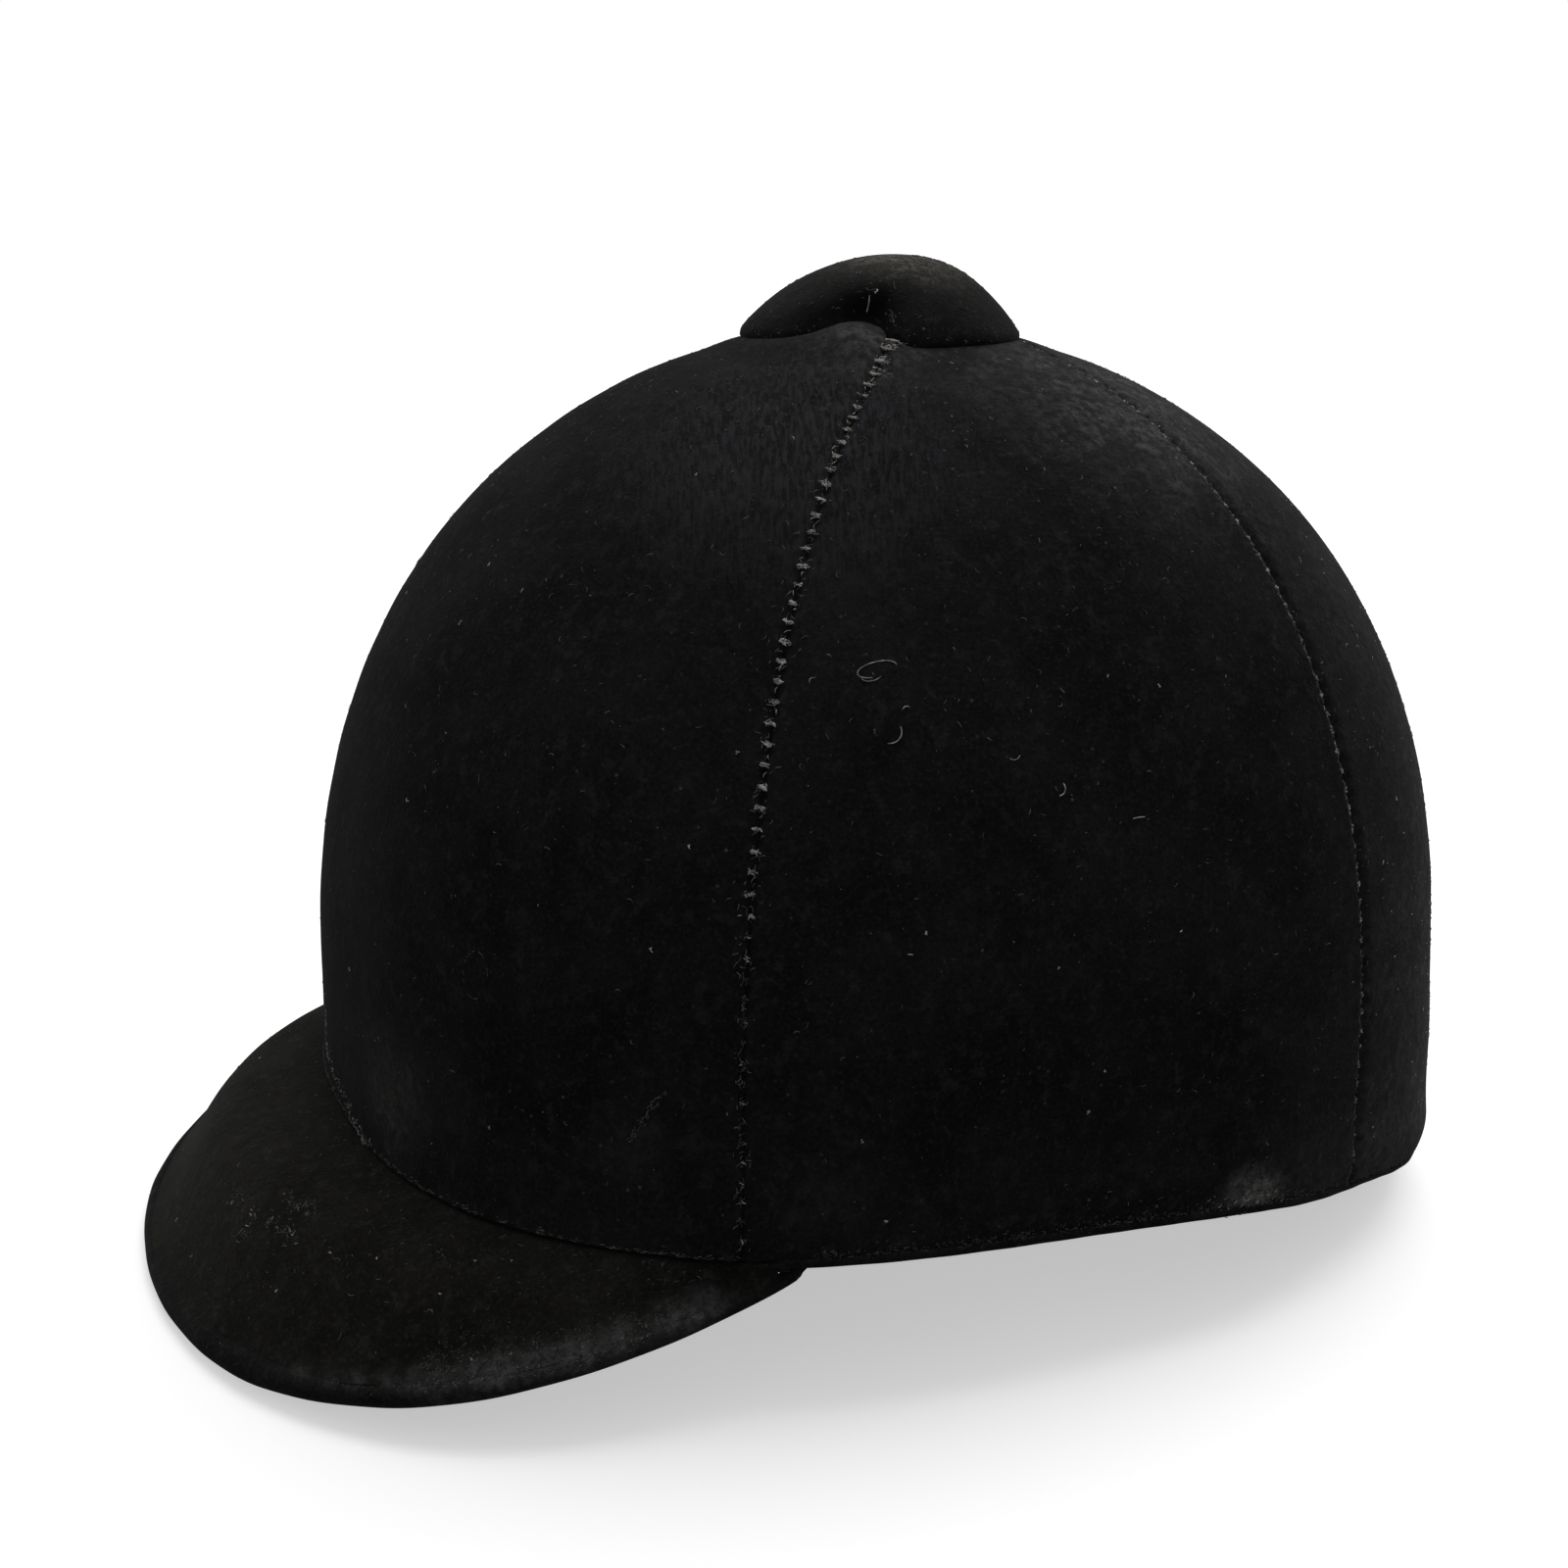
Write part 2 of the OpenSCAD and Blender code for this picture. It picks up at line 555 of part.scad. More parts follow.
module hanger_rivets() color("#b7b9bc") place() for (s = [-1, 1]) on_side(s)
    translate([0, -hanger_head, rim_mid + hanger_rivet_lift]) {
        rotate([90, 0, 0]) cylinder(r = rivet_r, h = hanger_rivet_l);
        rotate([-90, 0, 0]) cylinder(r = rivet_head_r, h = rivet_head_t);
    }
module strap_pivot_pins() color("#b7b9bc") place() for (s = [-1, 1]) on_side(s)
    translate([0, -pin_in, pivot_z]) rotate([90, 0, 0]) {
        cylinder(r = pin_r, h = pin_out - pin_in + touch);
        translate([0, 0, -pin_head_t]) cylinder(r = pin_head_r, h = pin_head_t);
        translate([0, 0, pin_out - pin_in]) cylinder(r = pin_head_r, h = pin_head_t);
    }

// The strap's loop: an end tab, a straight leaning run and an arc over the top.
// It is drawn in its own plane, X across the webbing, Y sideways and Z away from the pivot,
// and is stored tipped back inside the crown.
tab_low = 6;
tab_high = 7;
run_end = [-strap_y + lean_run * sin(lean), tab_high + lean_run * cos(lean)];
arc_r = -run_end[0] / cos(lean);
arc_z = run_end[1] - arc_r * sin(lean);
buckle_from = 33;
buckle_mid = buckle_from + asin((plug_l + socket_l) / 2 / arc_r);
buckle_to = 2 * buckle_mid - buckle_from;
module at_pivot() place() translate([0, 0, pivot_z]) rotate([0, tuck_back, 0]) children();
module at_run(along) translate([0, -strap_y, tab_high]) rotate([-lean, 0, 0])
    translate([0, 0, along]) children();
// A strap half from the side: its outer face from the tab up and over, then its inner face back
fold = web_t / 2 * tan(lean / 2);
arc_step = 3;
web_grip = 1;
function arc_at(b, r) = [-r * cos(b), arc_z + r * sin(b)];
function strap_profile(to) = let (n = ceil((to - lean) / arc_step), run = steps(lean, to, n)) concat(
    [[-strap_y - web_t / 2, -tab_low], [-strap_y - web_t / 2, tab_high + fold]],
    [for (i = [0:n]) arc_at(run[i], arc_r + web_t / 2)],
    [for (i = [0:n]) arc_at(run[n - i], arc_r - web_t / 2)],
    [[-strap_y + web_t / 2, tab_high - fold], [-strap_y + web_t / 2, -tab_low]]);
module chin_strap(s, to) color("#141517") at_pivot() on_side(s) difference() {
    rotate([90, 0, 90]) linear_extrude(height = web_w, center = true) polygon(strap_profile(to));
    translate([0, -strap_y, 0]) rotate([90, 0, 0])
        cylinder(r = pin_r + fit, h = web_t + 2 * over, center = true);
}
module left_chin_strap() chin_strap(-1, buckle_from + web_grip);
module right_chin_strap() chin_strap(1, 180 - buckle_to + web_grip);
// Sweeps a section along the loop's arc, between two angles from the left side
module along_arc(from, to) translate([0, 0, arc_z]) rotate([90, 0, 90])
    rotate([0, 0, 180 - to]) rotate_extrude(angle = to - from, $fn = 96)
        translate([arc_r, 0]) children();

// The buckle lies along a chord of the arc, its plug towards the left strap
sleeve_lap = 3;
buckle_w = web_w + 2 * sleeve_lap;
buckle_t = 8;
plug_t = 7;
prong_l = 18;
prong_w = 3;
prong_t = 3.2;
prong_y = web_w / 2 - 2;
hook_l = 5;
hook_w = 1.8;
tongue_w = 4;
web_slot_l = 6;
web_slot_t = web_t + 2.8;
socket_slot_t = prong_t + 1;
socket_slot_w = 2 * (prong_y + hook_w) + prong_w + 1;
window_l = 8;
plug_end = -(plug_l + socket_l) / 2;
socket_from = plug_end + plug_l;
socket_to = -plug_end;
module block(w, t, from, to) translate([-w / 2, -t / 2, from]) cube([w, t, to - from]);
module at_buckle() at_pivot() translate([0, 0, arc_z]) rotate([-buckle_mid, 0, 0])
    translate([0, -arc_r * cos(buckle_mid - buckle_from), 0]) children();
module buckle_plug() color("#0f1012") at_buckle() difference() {
    union() {
        block(buckle_w, plug_t, plug_end, socket_from - layer_gap);
        for (s = [-1, 1]) {
            translate([s * prong_y, 0, 0])
                block(prong_w, prong_t, socket_from - over, socket_from + prong_l);
            translate([s * (prong_y + hook_w / 2), 0, 0])
                block(prong_w + hook_w, prong_t, socket_from + prong_l - hook_l - over,
                    socket_from + prong_l - over);
        }
        block(tongue_w, prong_t - 0.8, socket_from - over, socket_from + prong_l - 2 * over);
    }
    block(web_w + 2 * layer_gap, web_slot_t, plug_end - over, plug_end + web_slot_l);
}
module buckle_socket() color("#0f1012") at_buckle() difference() {
    block(buckle_w, buckle_t, socket_from, socket_to);
    block(socket_slot_w, socket_slot_t, socket_from - over, socket_from + prong_l + 2 * over);
    block(buckle_w + 2 * over, socket_slot_t, socket_from + prong_l - window_l, socket_from + prong_l);
    block(web_w + 2 * layer_gap, web_slot_t, socket_to - web_slot_l, socket_to + over);
}

// The soft sleeve at the top of the loop lies under the wearer's chin in use
chin_pad_t = 6;
chin_pad_mid = 94;
module chin_pad() color("#1c1d21") at_pivot()
    along_arc(chin_pad_mid - chin_pad_span / 2, chin_pad_mid + chin_pad_span / 2) difference() {
        square([chin_pad_t, web_w + 2 * sleeve_lap], center = true);
        square([web_t + 2 * layer_gap, web_w + 2 * layer_gap], center = true);
    }

slider_wall = 1.3;
slider_side = 2;
slider_rest = 8;
module strap_slider(s) color("#0f1012") at_pivot() on_side(s) at_run(slider_rest) difference() {
    block(web_w + 2 * (layer_gap + slider_side), web_t + 2 * (layer_gap + slider_wall), 0, slider_l);
    block(web_w + 2 * layer_gap, web_t + 2 * layer_gap, -over, slider_l + over);
}
module left_strap_slider() strap_slider(-1);
module right_strap_slider() strap_slider(1);

hard_shell();
front_velvet_panel();
left_velvet_panel();
right_velvet_panel();
rear_velvet_panel();
rim_binding();
visor_board();
visor_top_velvet();
visor_underlay();
visor_piping();
visor_rivets();
impact_liner();
sweatband();
brow_pad();
nape_pad();
left_side_pad();
right_side_pad();
crown_pad();
crown_grommet();
button_core();
button_velvet();
button_screw();
screw_washer();
left_strap_hanger();
right_strap_hanger();
hanger_rivets();
strap_pivot_pins();
left_chin_strap();
right_chin_strap();
buckle_plug();
buckle_socket();
chin_pad();
left_strap_slider();
right_strap_slider();
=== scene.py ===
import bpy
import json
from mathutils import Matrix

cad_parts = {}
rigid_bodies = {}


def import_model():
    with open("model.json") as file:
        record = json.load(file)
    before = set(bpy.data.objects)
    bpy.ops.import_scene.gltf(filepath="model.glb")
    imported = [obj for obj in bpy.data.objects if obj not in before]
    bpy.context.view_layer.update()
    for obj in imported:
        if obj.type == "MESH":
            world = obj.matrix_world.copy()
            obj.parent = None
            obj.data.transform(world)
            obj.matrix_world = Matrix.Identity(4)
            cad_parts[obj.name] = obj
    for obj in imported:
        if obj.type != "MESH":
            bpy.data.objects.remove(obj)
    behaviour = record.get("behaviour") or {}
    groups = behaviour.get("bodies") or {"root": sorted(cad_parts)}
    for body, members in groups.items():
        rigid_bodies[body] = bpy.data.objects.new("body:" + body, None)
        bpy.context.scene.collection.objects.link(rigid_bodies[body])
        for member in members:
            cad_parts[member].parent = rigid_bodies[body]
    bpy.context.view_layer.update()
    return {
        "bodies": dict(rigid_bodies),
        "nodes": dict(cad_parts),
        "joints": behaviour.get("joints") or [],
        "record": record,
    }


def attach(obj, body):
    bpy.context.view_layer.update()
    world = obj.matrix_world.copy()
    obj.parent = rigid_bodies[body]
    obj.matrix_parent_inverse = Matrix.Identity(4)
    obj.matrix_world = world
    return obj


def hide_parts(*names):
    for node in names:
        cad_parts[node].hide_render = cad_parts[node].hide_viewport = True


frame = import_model()

import json
import math
import random

import bmesh
import bpy
import numpy as np
from mathutils import Vector

rnd = random.Random(11)
nrng = np.random.default_rng(7)

# Sizes of the dome, in millimetres about its own axis; SHIFT takes them to the row frame
SHIFT = 18.99
HALF_LENGTH, HALF_WIDTH, RISE, WIDE = 126.0, 107.2, 140.0, 55.6
# Powers of the crown's curve and of the plan, and the wall's flare below its widest level
CROWN, SQUARE, FLARE = 2.17, 2.46, 0.139
# Height, slope and bow of the rim
RIM, SLOPE, BOW = 29.7, 7.4, 12.2
# The point that directions and rises are taken from, the seams' directions, the stitches' pitch
POLE = np.array([14.3, 0.0, 60.0])
SEAM_F, SEAM_R = 48.1, 117.9
STITCH = 3.95
# Radius of the panels' hole under the button
HOLE = 18.2


def section(z, d=0.0):
    """Share of the full plan that the dome keeps at height z and depth d."""
    z = np.asarray(z, float)
    up = np.maximum(0, 1 - (np.maximum(z - WIDE, 0) / (RISE - d)) ** CROWN) ** (1 / CROWN)
    return np.where(z > WIDE, up, 1 + FLARE * ((WIDE - z) / 100) ** 2)


def plan(x, y, d=0.0):
    """Below 1 within the dome's outline from above, at depth d."""
    along, across = np.abs(x) / (HALF_LENGTH - d), np.abs(y) / (HALF_WIDTH - d)
    return (along ** SQUARE + across ** SQUARE) ** (1 / SQUARE)


HEEL = float(section(0)) * (HALF_LENGTH + 0.2) / HALF_LENGTH
HOOK = (RIM - SLOPE * HEEL - BOW * HEEL ** 2 - 1.0) / HEEL ** 3


def rim_z(x):
    u = np.asarray(x, float) / HALF_LENGTH
    return RIM - SLOPE * u - BOW * u * u - HOOK * u ** 3


def inside(p, d):
    return plan(p[..., 0], p[..., 1], d) < section(p[..., 2], d)


def seek_last(holds, shape, low=0.0, high=220.0, rounds=26):
    """The last value at which holds(value) is true, sought by halving."""
    a, b = np.full(shape, low), np.full(shape, high)
    for _ in range(rounds):
        m = (a + b) / 2
        k = holds(m)
        a, b = np.where(k, m, a), np.where(k, b, m)
    return a


def skin(direction, rise, d=0.0):
    """Dome points along rays from the pole; d is the depth below the velvet's surface."""
    di, ri, d = np.broadcast_arrays(np.radians(direction), np.radians(rise), np.asarray(d, float))
    v = np.stack([-np.cos(di) * np.cos(ri), -np.sin(di) * np.cos(ri), np.sin(ri)], -1)
    return POLE + v * seek_last(lambda m: inside(POLE + v * m[..., None], d), di.shape)[..., None]


def rim_point(direction, d=0.0, lift=0.0):
    """Points of the wall at a depth and at a lift above the rim."""
    di, d, lift = np.broadcast_arrays(np.radians(direction), np.asarray(d, float), np.asarray(lift, float))

    def at(m):
        x = POLE[0] - m * np.cos(di)
        return np.stack([x, -m * np.sin(di), rim_z(x) + lift], -1)
    return at(seek_last(lambda m: inside(at(m), d), di.shape))


def rise_of(p):
    return np.degrees(np.arctan2(p[..., 2] - POLE[2], np.hypot(p[..., 0] - POLE[0], p[..., 1])))


def hole_rise(direction, d=0.0, hole=HOLE):
    """Rise at which a column reaches a round hole about the axis."""
    def outside(m):
        p = skin(direction, m, d)
        return np.hypot(p[..., 0], p[..., 1]) > hole
    return seek_last(outside, direction.shape, -10.0, 90.0, 24)


def turn_from(direction, middle=0.0):
    """Degrees from one direction to another, between -180 and 180."""
    return (direction - middle + 180) % 360 - 180


def smooth(a, b, x):
    t = np.clip((np.asarray(x, float) - a) / (b - a), 0, 1)
    return t * t * (3 - 2 * t)


def hump(x, middle, width):
    """A smooth swelling of height 1 about a middle."""
    return np.exp(-((x - middle) / width) ** 2)


def fade(x, width):
    """1 at 0, falling evenly to 0 at a width."""
    return np.clip(1 - x / width, 0, 1)


def around(count):
    """Directions in even steps round the circle, in degrees."""
    return np.linspace(0, 360, count, endpoint=False)


def unit(v):
    return v / (np.linalg.norm(v, axis=-1, keepdims=True) + 1e-12)


def running_length(p):
    """Length along each line of points, from 0 at its start."""
    step = np.linalg.norm(np.diff(p, axis=-2), axis=-1)
    return np.concatenate([0 * step[..., :1], np.cumsum(step, axis=-1)], -1)


WAVES = [(nrng.normal(size=3) * s, nrng.uniform(0, 6.28)) for s in (0.07, 0.07, 0.11, 0.11, 0.16, 0.2)]


def waviness(p):
    return sum(np.sin(p @ k + f) for k, f in WAVES) / len(WAVES)


# The wall's swelling above its rear corners and its roll at their lower edge: heights above the rim
SWELL_AT, SWELL_HALF, ROLL_FROM, ROLL_OVER, ROLL_IN = 32, 14, 11, 12, 4.9


def rolled_in(p):
    """Above its rear corners the wall bulges a little; at its lower edge it rolls in there."""
    p = np.array(p, float)
    dx, dy = p[..., 0] - POLE[0], p[..., 1]
    a = np.degrees(np.arctan2(np.abs(dy), -dx))
    lift = p[..., 2] - rim_z(p[..., 0])
    share = smooth(106, 128, a) * (1 - smooth(150, 178, a))
    low = np.clip((ROLL_FROM - lift) / ROLL_OVER, 0, 1)
    rho = np.maximum(np.hypot(dx, dy), 1)
    move = share * (hump(lift, SWELL_AT, SWELL_HALF) - ROLL_IN * low ** 2) / rho
    p[..., 0] += move * dx
    p[..., 1] += move * dy
    return p


NOTCH_DIR = math.radians(57)


# Heights of the crown's velvet over the plain dome: a ring round the button, more of it on the notch's
# side, a low apron outside it, and the lump in the notch, which falls off slower on one side
RING, RING_NOTCH, APRON, LUMP, LUMP_WIDE, LUMP_NARROW = 0.8, 1.3, 0.6, 3.1, 10.5, 6.5


def crown_bulge(p):
    """The crown's velvet swells up round the button, and most where the button's edge is notched."""
    along = -p[..., 0] * math.cos(NOTCH_DIR) - p[..., 1] * math.sin(NOTCH_DIR)
    side = p[..., 0] * math.sin(NOTCH_DIR) - p[..., 1] * math.cos(NOTCH_DIR)
    r = np.hypot(p[..., 0], p[..., 1])
    ring = RING + RING_NOTCH * np.maximum(along, 0) / np.maximum(r, 1)
    ring = ring * smooth(18, 25, r) * (1 - smooth(30, 41, r))
    ring = ring + APRON * smooth(18, 25, r) * (1 - smooth(42, 78, r))
    lump = LUMP * hump(side, 0, np.where(side > 0, LUMP_NARROW, LUMP_WIDE)) * smooth(17, 24, along)
    return np.where(p[..., 2] > 120, ring + lump * (1 - smooth(27, 50, along)), 0)


# Meshes

def grid_faces(cols, rows, ring=False):
    i = np.arange(cols if ring else cols - 1)[:, None]
    j = np.arange(rows - 1)[None, :]
    n = (i + 1) % cols
    return np.stack([i * rows + j, n * rows + j, n * rows + j + 1, i * rows + j + 1], -1).reshape(-1, 4)


def tube_faces(rings, sides, closed=False):
    """Faces of a tube made of rings, capped at both ends or closed to a loop."""
    f = [(i * sides + k, i * sides + (k + 1) % sides, (i + 1) % rings * sides + (k + 1) % sides,
          (i + 1) % rings * sides + k) for i in range(rings if closed else rings - 1) for k in range(sides)]
    if closed:
        return f
    return f + [tuple(range(sides))[::-1], tuple((rings - 1) * sides + k for k in range(sides))]


def make(name, verts, faces, mat, slot, body="cap", uv=None, wall=False):
    """A mesh object from points in millimetres; wall says that it follows the rolled-in wall.

    The rows of uv are used again for the second half of a slab's points."""
    v = np.asarray(verts, float).reshape(-1, 3)
    v = (rolled_in(v) if wall else v) / 1000.0 + np.array([SHIFT / 1000.0, 0, 0])
    me = bpy.data.meshes.new(name)
    me.from_pydata(v.tolist(), [], [tuple(int(k) for k in f) for f in faces])
    me.validate()
    me.update()
    if uv is not None:
        idx = np.empty(len(me.loops), int)
        me.loops.foreach_get("vertex_index", idx)
        me.uv_layers.new(name="UVMap").data.foreach_set("uv", np.resize(uv, (len(v), 2))[idx].ravel())
    me.polygons.foreach_set("use_smooth", [True] * len(me.polygons))
    me.materials.append(mat)
    o = bpy.data.objects.new(name, me)
    bpy.context.scene.collection.objects.link(o)
    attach(o, body)
    return o


def slab(outer, inner, ring=False):
    """A closed solid between two grids of the same size, given as (columns, rows, 3)."""
    c, r = outer.shape[:2]
    half = c * r
    a = grid_faces(c, r, ring)
    f = [a, a[:, ::-1] + half]
    last = c if ring else c - 1
    i = np.arange(last)
    n = (i + 1) % c
    f.append(np.stack([i * r, half + i * r, half + n * r, n * r], -1))
    f.append(np.stack([i * r + r - 1, n * r + r - 1, half + n * r + r - 1, half + i * r + r - 1], -1))
    if not ring:
        j = np.arange(r - 1)
        f.append(np.stack([j, j + 1, half + j + 1, half + j], -1))
        e = (c - 1) * r
        f.append(np.stack([e + j, half + e + j, half + e + j + 1, e + j + 1], -1))
    v = np.concatenate([outer.reshape(-1, 3), inner.reshape(-1, 3)])
    f = np.concatenate(f)
    return v, outward(v, f)


def outward(v, f):
    a, b, c = v[f[:, 0]], v[f[:, 1]], v[f[:, 2]]
    d = v[f[:, 3]]
    vol = np.einsum("ij,ij->i", a, np.cross(b, c)).sum() + np.einsum("ij,ij->i", a, np.cross(c, d)).sum()
    return f if vol > 0 else f[:, ::-1]


class Bag:
    """Collects many small shapes into one mesh."""

    def __init__(self):
        self.v, self.f, self.n = [], [], 0

    def add(self, v, f):
        v = np.asarray(v, float).reshape(-1, 3)
        self.f += [tuple(int(k) + self.n for k in q) for q in f]
        self.v.append(v)
        self.n += len(v)

    def tube(self, path, radius, sides, up, flat):
        """A tube along path with narrowed ends; flat squeezes it along up."""
        p = np.asarray(path, float)
        t = unit(np.gradient(p, axis=0))
        s = unit(np.cross(t, np.broadcast_to(np.asarray(up, float), p.shape)))
        r = np.full(len(p), float(radius))
        r[[0, -1]] *= 0.35
        w = np.arange(sides) * 2 * np.pi / sides
        ring = (p[:, None] + s[:, None] * (np.cos(w)[None, :, None] * r[:, None, None])
                + np.cross(s, t)[:, None] * (np.sin(w)[None, :, None] * r[:, None, None] * flat))
        self.add(ring, tube_faces(len(p), sides))

    def hairs(self, c, n, w, half, bend, radius, high=0.15):
        """Short bowed hairs at points c along w, lying on a surface with normals n."""
        c, n, w = (np.asarray(q, float).reshape(-1, 3) for q in (c, n, w))
        half, bend, radius, high = (np.broadcast_to(np.asarray(q, float), (len(c),))[:, None, None]
                                    for q in (half, bend, radius, high))
        s = np.linspace(-1, 1, 5)[None, :, None]
        path = (c[:, None] + w[:, None] * half * s + np.cross(n, w)[:, None] * bend * s ** 2
                + n[:, None] * (high * (1 - s ** 2) - 0.06))
        t = unit(np.gradient(path, axis=1))
        side = unit(np.cross(t, n[:, None]))
        r = radius * np.array([0.35, 1, 1, 1, 0.35])[None, :, None]
        up = np.cross(side, t) * r * 0.8
        ring = np.stack([path + side * r, path + up, path - side * r, path - up], 2)
        f = tube_faces(5, 4)
        f = np.array([(0, 3, 2, 1)] + f[:16] + f[17:])
        self.add(ring, (f[None] + 20 * np.arange(len(c))[:, None, None]).reshape(-1, 4))

    def make(self, name, mat, slot, **kw):
        return make(name, np.concatenate(self.v), self.f, mat, slot, **kw)


def dome_frame(direction, rise):
    """Point, outward normal, and unit directions across and up the dome."""
    e = 0.05
    p = skin(direction, rise)
    a = unit(skin(direction + e, rise) - skin(direction - e, rise))
    b = unit(skin(direction, rise + e) - skin(direction, rise - e))
    n = unit(np.cross(a, b))
    return p, np.where((n * (p - POLE)).sum(-1, keepdims=True) < 0, -n, n), a, b


def clean(o):
    """Merges doubled points and turns every face outward."""
    bm = bmesh.new()
    bm.from_mesh(o.data)
    bmesh.ops.remove_doubles(bm, verts=bm.verts, dist=1e-6)
    bmesh.ops.dissolve_degenerate(bm, edges=bm.edges, dist=1e-7)
    bmesh.ops.recalc_face_normals(bm, faces=bm.faces)
    bm.to_mesh(o.data)
    bm.free()
    o.data.update()


# Materials

class Nodes:
    """A material's node tree; a socket takes a number, a colour or another node's output."""

    def __init__(self, name):
        self.m = bpy.data.materials.new(name)
        self.m.use_nodes = True
        self.t = self.m.node_tree
        self.p = self.t.nodes["Principled BSDF"]
        places = self.node("TexCoord").outputs
        self.co, self.uv = places["Object"], places["UV"]

    def put(self, socket, value):
        if isinstance(value, bpy.types.NodeSocket):
            self.t.links.new(value, socket)
        else:
            socket.default_value = (*value, 1.0) if socket.type == "RGBA" else value

    def node(self, kind, inputs=(), **settings):
        n = self.t.nodes.new("ShaderNode" + kind)
        for k, v in settings.items():
            setattr(n, k, v)
        for k, v in dict(inputs).items():
            self.put(n.inputs[k], v)
        return n

    def noise(self, scale, detail=3.0, rough=0.5, vector=None, distort=0.0):
        return self.node("TexNoise", {"Scale": scale, "Detail": detail, "Roughness": rough,
                                      "Distortion": distort, "Vector": vector or self.co}).outputs["Fac"]

    def cells(self, scale, feature):
        return self.node("TexVoronoi", {"Scale": scale, "Vector": self.co}, feature=feature)

    def bands(self, direction, vector, scale=1.0, distort=0.0):
        return self.node("TexWave", {"Scale": scale, "Distortion": distort, "Vector": vector},
                         wave_type="BANDS", bands_direction=direction).outputs["Fac"]

    def ramp(self, value, a, b, lo=0.0, hi=1.0):
        ends = {"Value": value, "From Min": a, "From Max": b, "To Min": lo, "To Max": hi}
        return self.node("MapRange", ends, interpolation_type="SMOOTHSTEP").outputs["Result"]

    def plus(self, a, b):
        return self.node("Math", {0: a, 1: b}, operation="ADD").outputs[0]

    def times(self, a, b):
        return self.node("Math", {0: a, 1: b}, operation="MULTIPLY").outputs[0]

    def mix(self, fac, a, b):
        return self.node("Mix", {0: fac, 6: a, 7: b}, data_type="RGBA").outputs[2]

    def stretched(self, vector, scale, turn=0.0):
        a = self.node("Mapping", {"Vector": vector, "Rotation": (0, 0, turn)})
        return self.node("Mapping", {"Vector": a.outputs["Vector"], "Scale": scale}).outputs["Vector"]

    def near(self, centre, radius, soft):
        """1 at a point of the dome, falling to 0 at a radius; both are in millimetres."""
        n = self.node("VectorMath", {0: self.co, 1: row(*centre)}, operation="DISTANCE")
        return self.ramp(n.outputs["Value"], radius / 1000 * (1 - soft), radius / 1000, 1.0, 0.0)

    def bump(self, height, strength, distance):
        n = self.node("Bump", {"Height": height, "Strength": strength, "Distance": distance})
        return n.outputs["Normal"]

    def finish(self, color, normal=None, rough=0.8, spec=0.3, sheen=0.0, sheen_rough=0.5, metal=0.0):
        for k, v in (("Base Color", color), ("Roughness", rough), ("Specular IOR Level", spec),
                     ("Metallic", metal), ("Sheen Weight", sheen), ("Sheen Roughness", sheen_rough),
                     ("Sheen Tint", (1, 1, 1))):
            self.put(self.p.inputs[k], v)
        if normal is not None:
            self.put(self.p.inputs["Normal"], normal)
        return self.m


def row(x, y, z):
    """A point of the dome in metres of the row frame."""
    return ((x + SHIFT) / 1000, y / 1000, z / 1000)


def shade_of(color, k):
    return tuple(c * k for c in color)


def velvet(name, base, sheen, dust=1.0, ribs=None, patches=(), painted_shade=()):
    """Short black pile: fine grain and flecks, mottling, dust caught in the nap, worn places partly painted
    sheen, painted shade.
    """
    n = Nodes(name)
    nap, grain = n.noise(300, 3, 0.65), n.noise(1250, 3, 0.75)
    color = n.mix(n.ramp(n.noise(42, 5, 0.65), 0.3, 0.7), shade_of(base, 0.66), shade_of(base, 1.34))
    for where, amount, k in ((n.ramp(nap, 0.5, 0.72), 0.6, 2.4), (n.ramp(grain, 0.52, 0.78), 0.7, 3.2),
                             (n.ramp(grain, 0.5, 0.26), 0.75, 0.35)):
        color = n.mix(n.times(where, amount), color, shade_of(base, k))
    height = n.plus(n.times(grain, 0.8), n.times(nap, 1.1))
    if ribs:
        rib = n.noise(1.0, 2, 0.5, n.stretched(n.co, (1300, 260, 260), 0.42), 0.4)
        ribbed = n.times(n.ramp(rib, 0.35, 0.65), n.near(*ribs, 0.9))
        color = n.mix(n.times(ribbed, 0.75), color, shade_of(base, 3.2))
        height = n.plus(height, n.times(ribbed, 1.3))
    # sparse flecks of dust, in drifts
    cell = n.cells(520, "F1")
    lot = n.node("SeparateColor", {0: cell.outputs["Color"]}).outputs[0]
    fleck = n.times(n.ramp(cell.outputs["Distance"], 0.1, 0.24, 1.0, 0.0), n.ramp(lot, 0.8, 0.98))
    fleck = n.times(fleck, n.ramp(n.noise(26, 3), 0.4, 0.66, 0.12, 1.0))
    color = n.mix(n.times(fleck, 0.6 * dust), color, (0.085, 0.085, 0.086))
    drifts = n.ramp(n.noise(120, 4, 0.7), 0.36, 0.62, 0.35, 1.7)
    fuzz = n.times(n.ramp(n.noise(520, 4, 0.75), 0.36, 0.72), drifts)
    # pale places: dust and wear, and in some of them painted sheen or a painted highlight
    for centre, radius, amount, tone in patches:
        where = n.times(n.times(n.near(centre, radius, 1.0), amount), n.plus(n.times(fuzz, 0.8), 0.2))
        color = n.mix(where, color, tone)
    # painted shade: a near-black tone laid over given places where a recess lies in shade
    for centre, radius, amount in painted_shade:
        color = n.mix(n.times(n.near(centre, radius, 0.8), amount), color, (0.0012, 0.0012, 0.0014))
    return n.finish(color, n.bump(height, 0.6, 0.0004), rough=1.0, spec=0.015, sheen=sheen, sheen_rough=0.4)
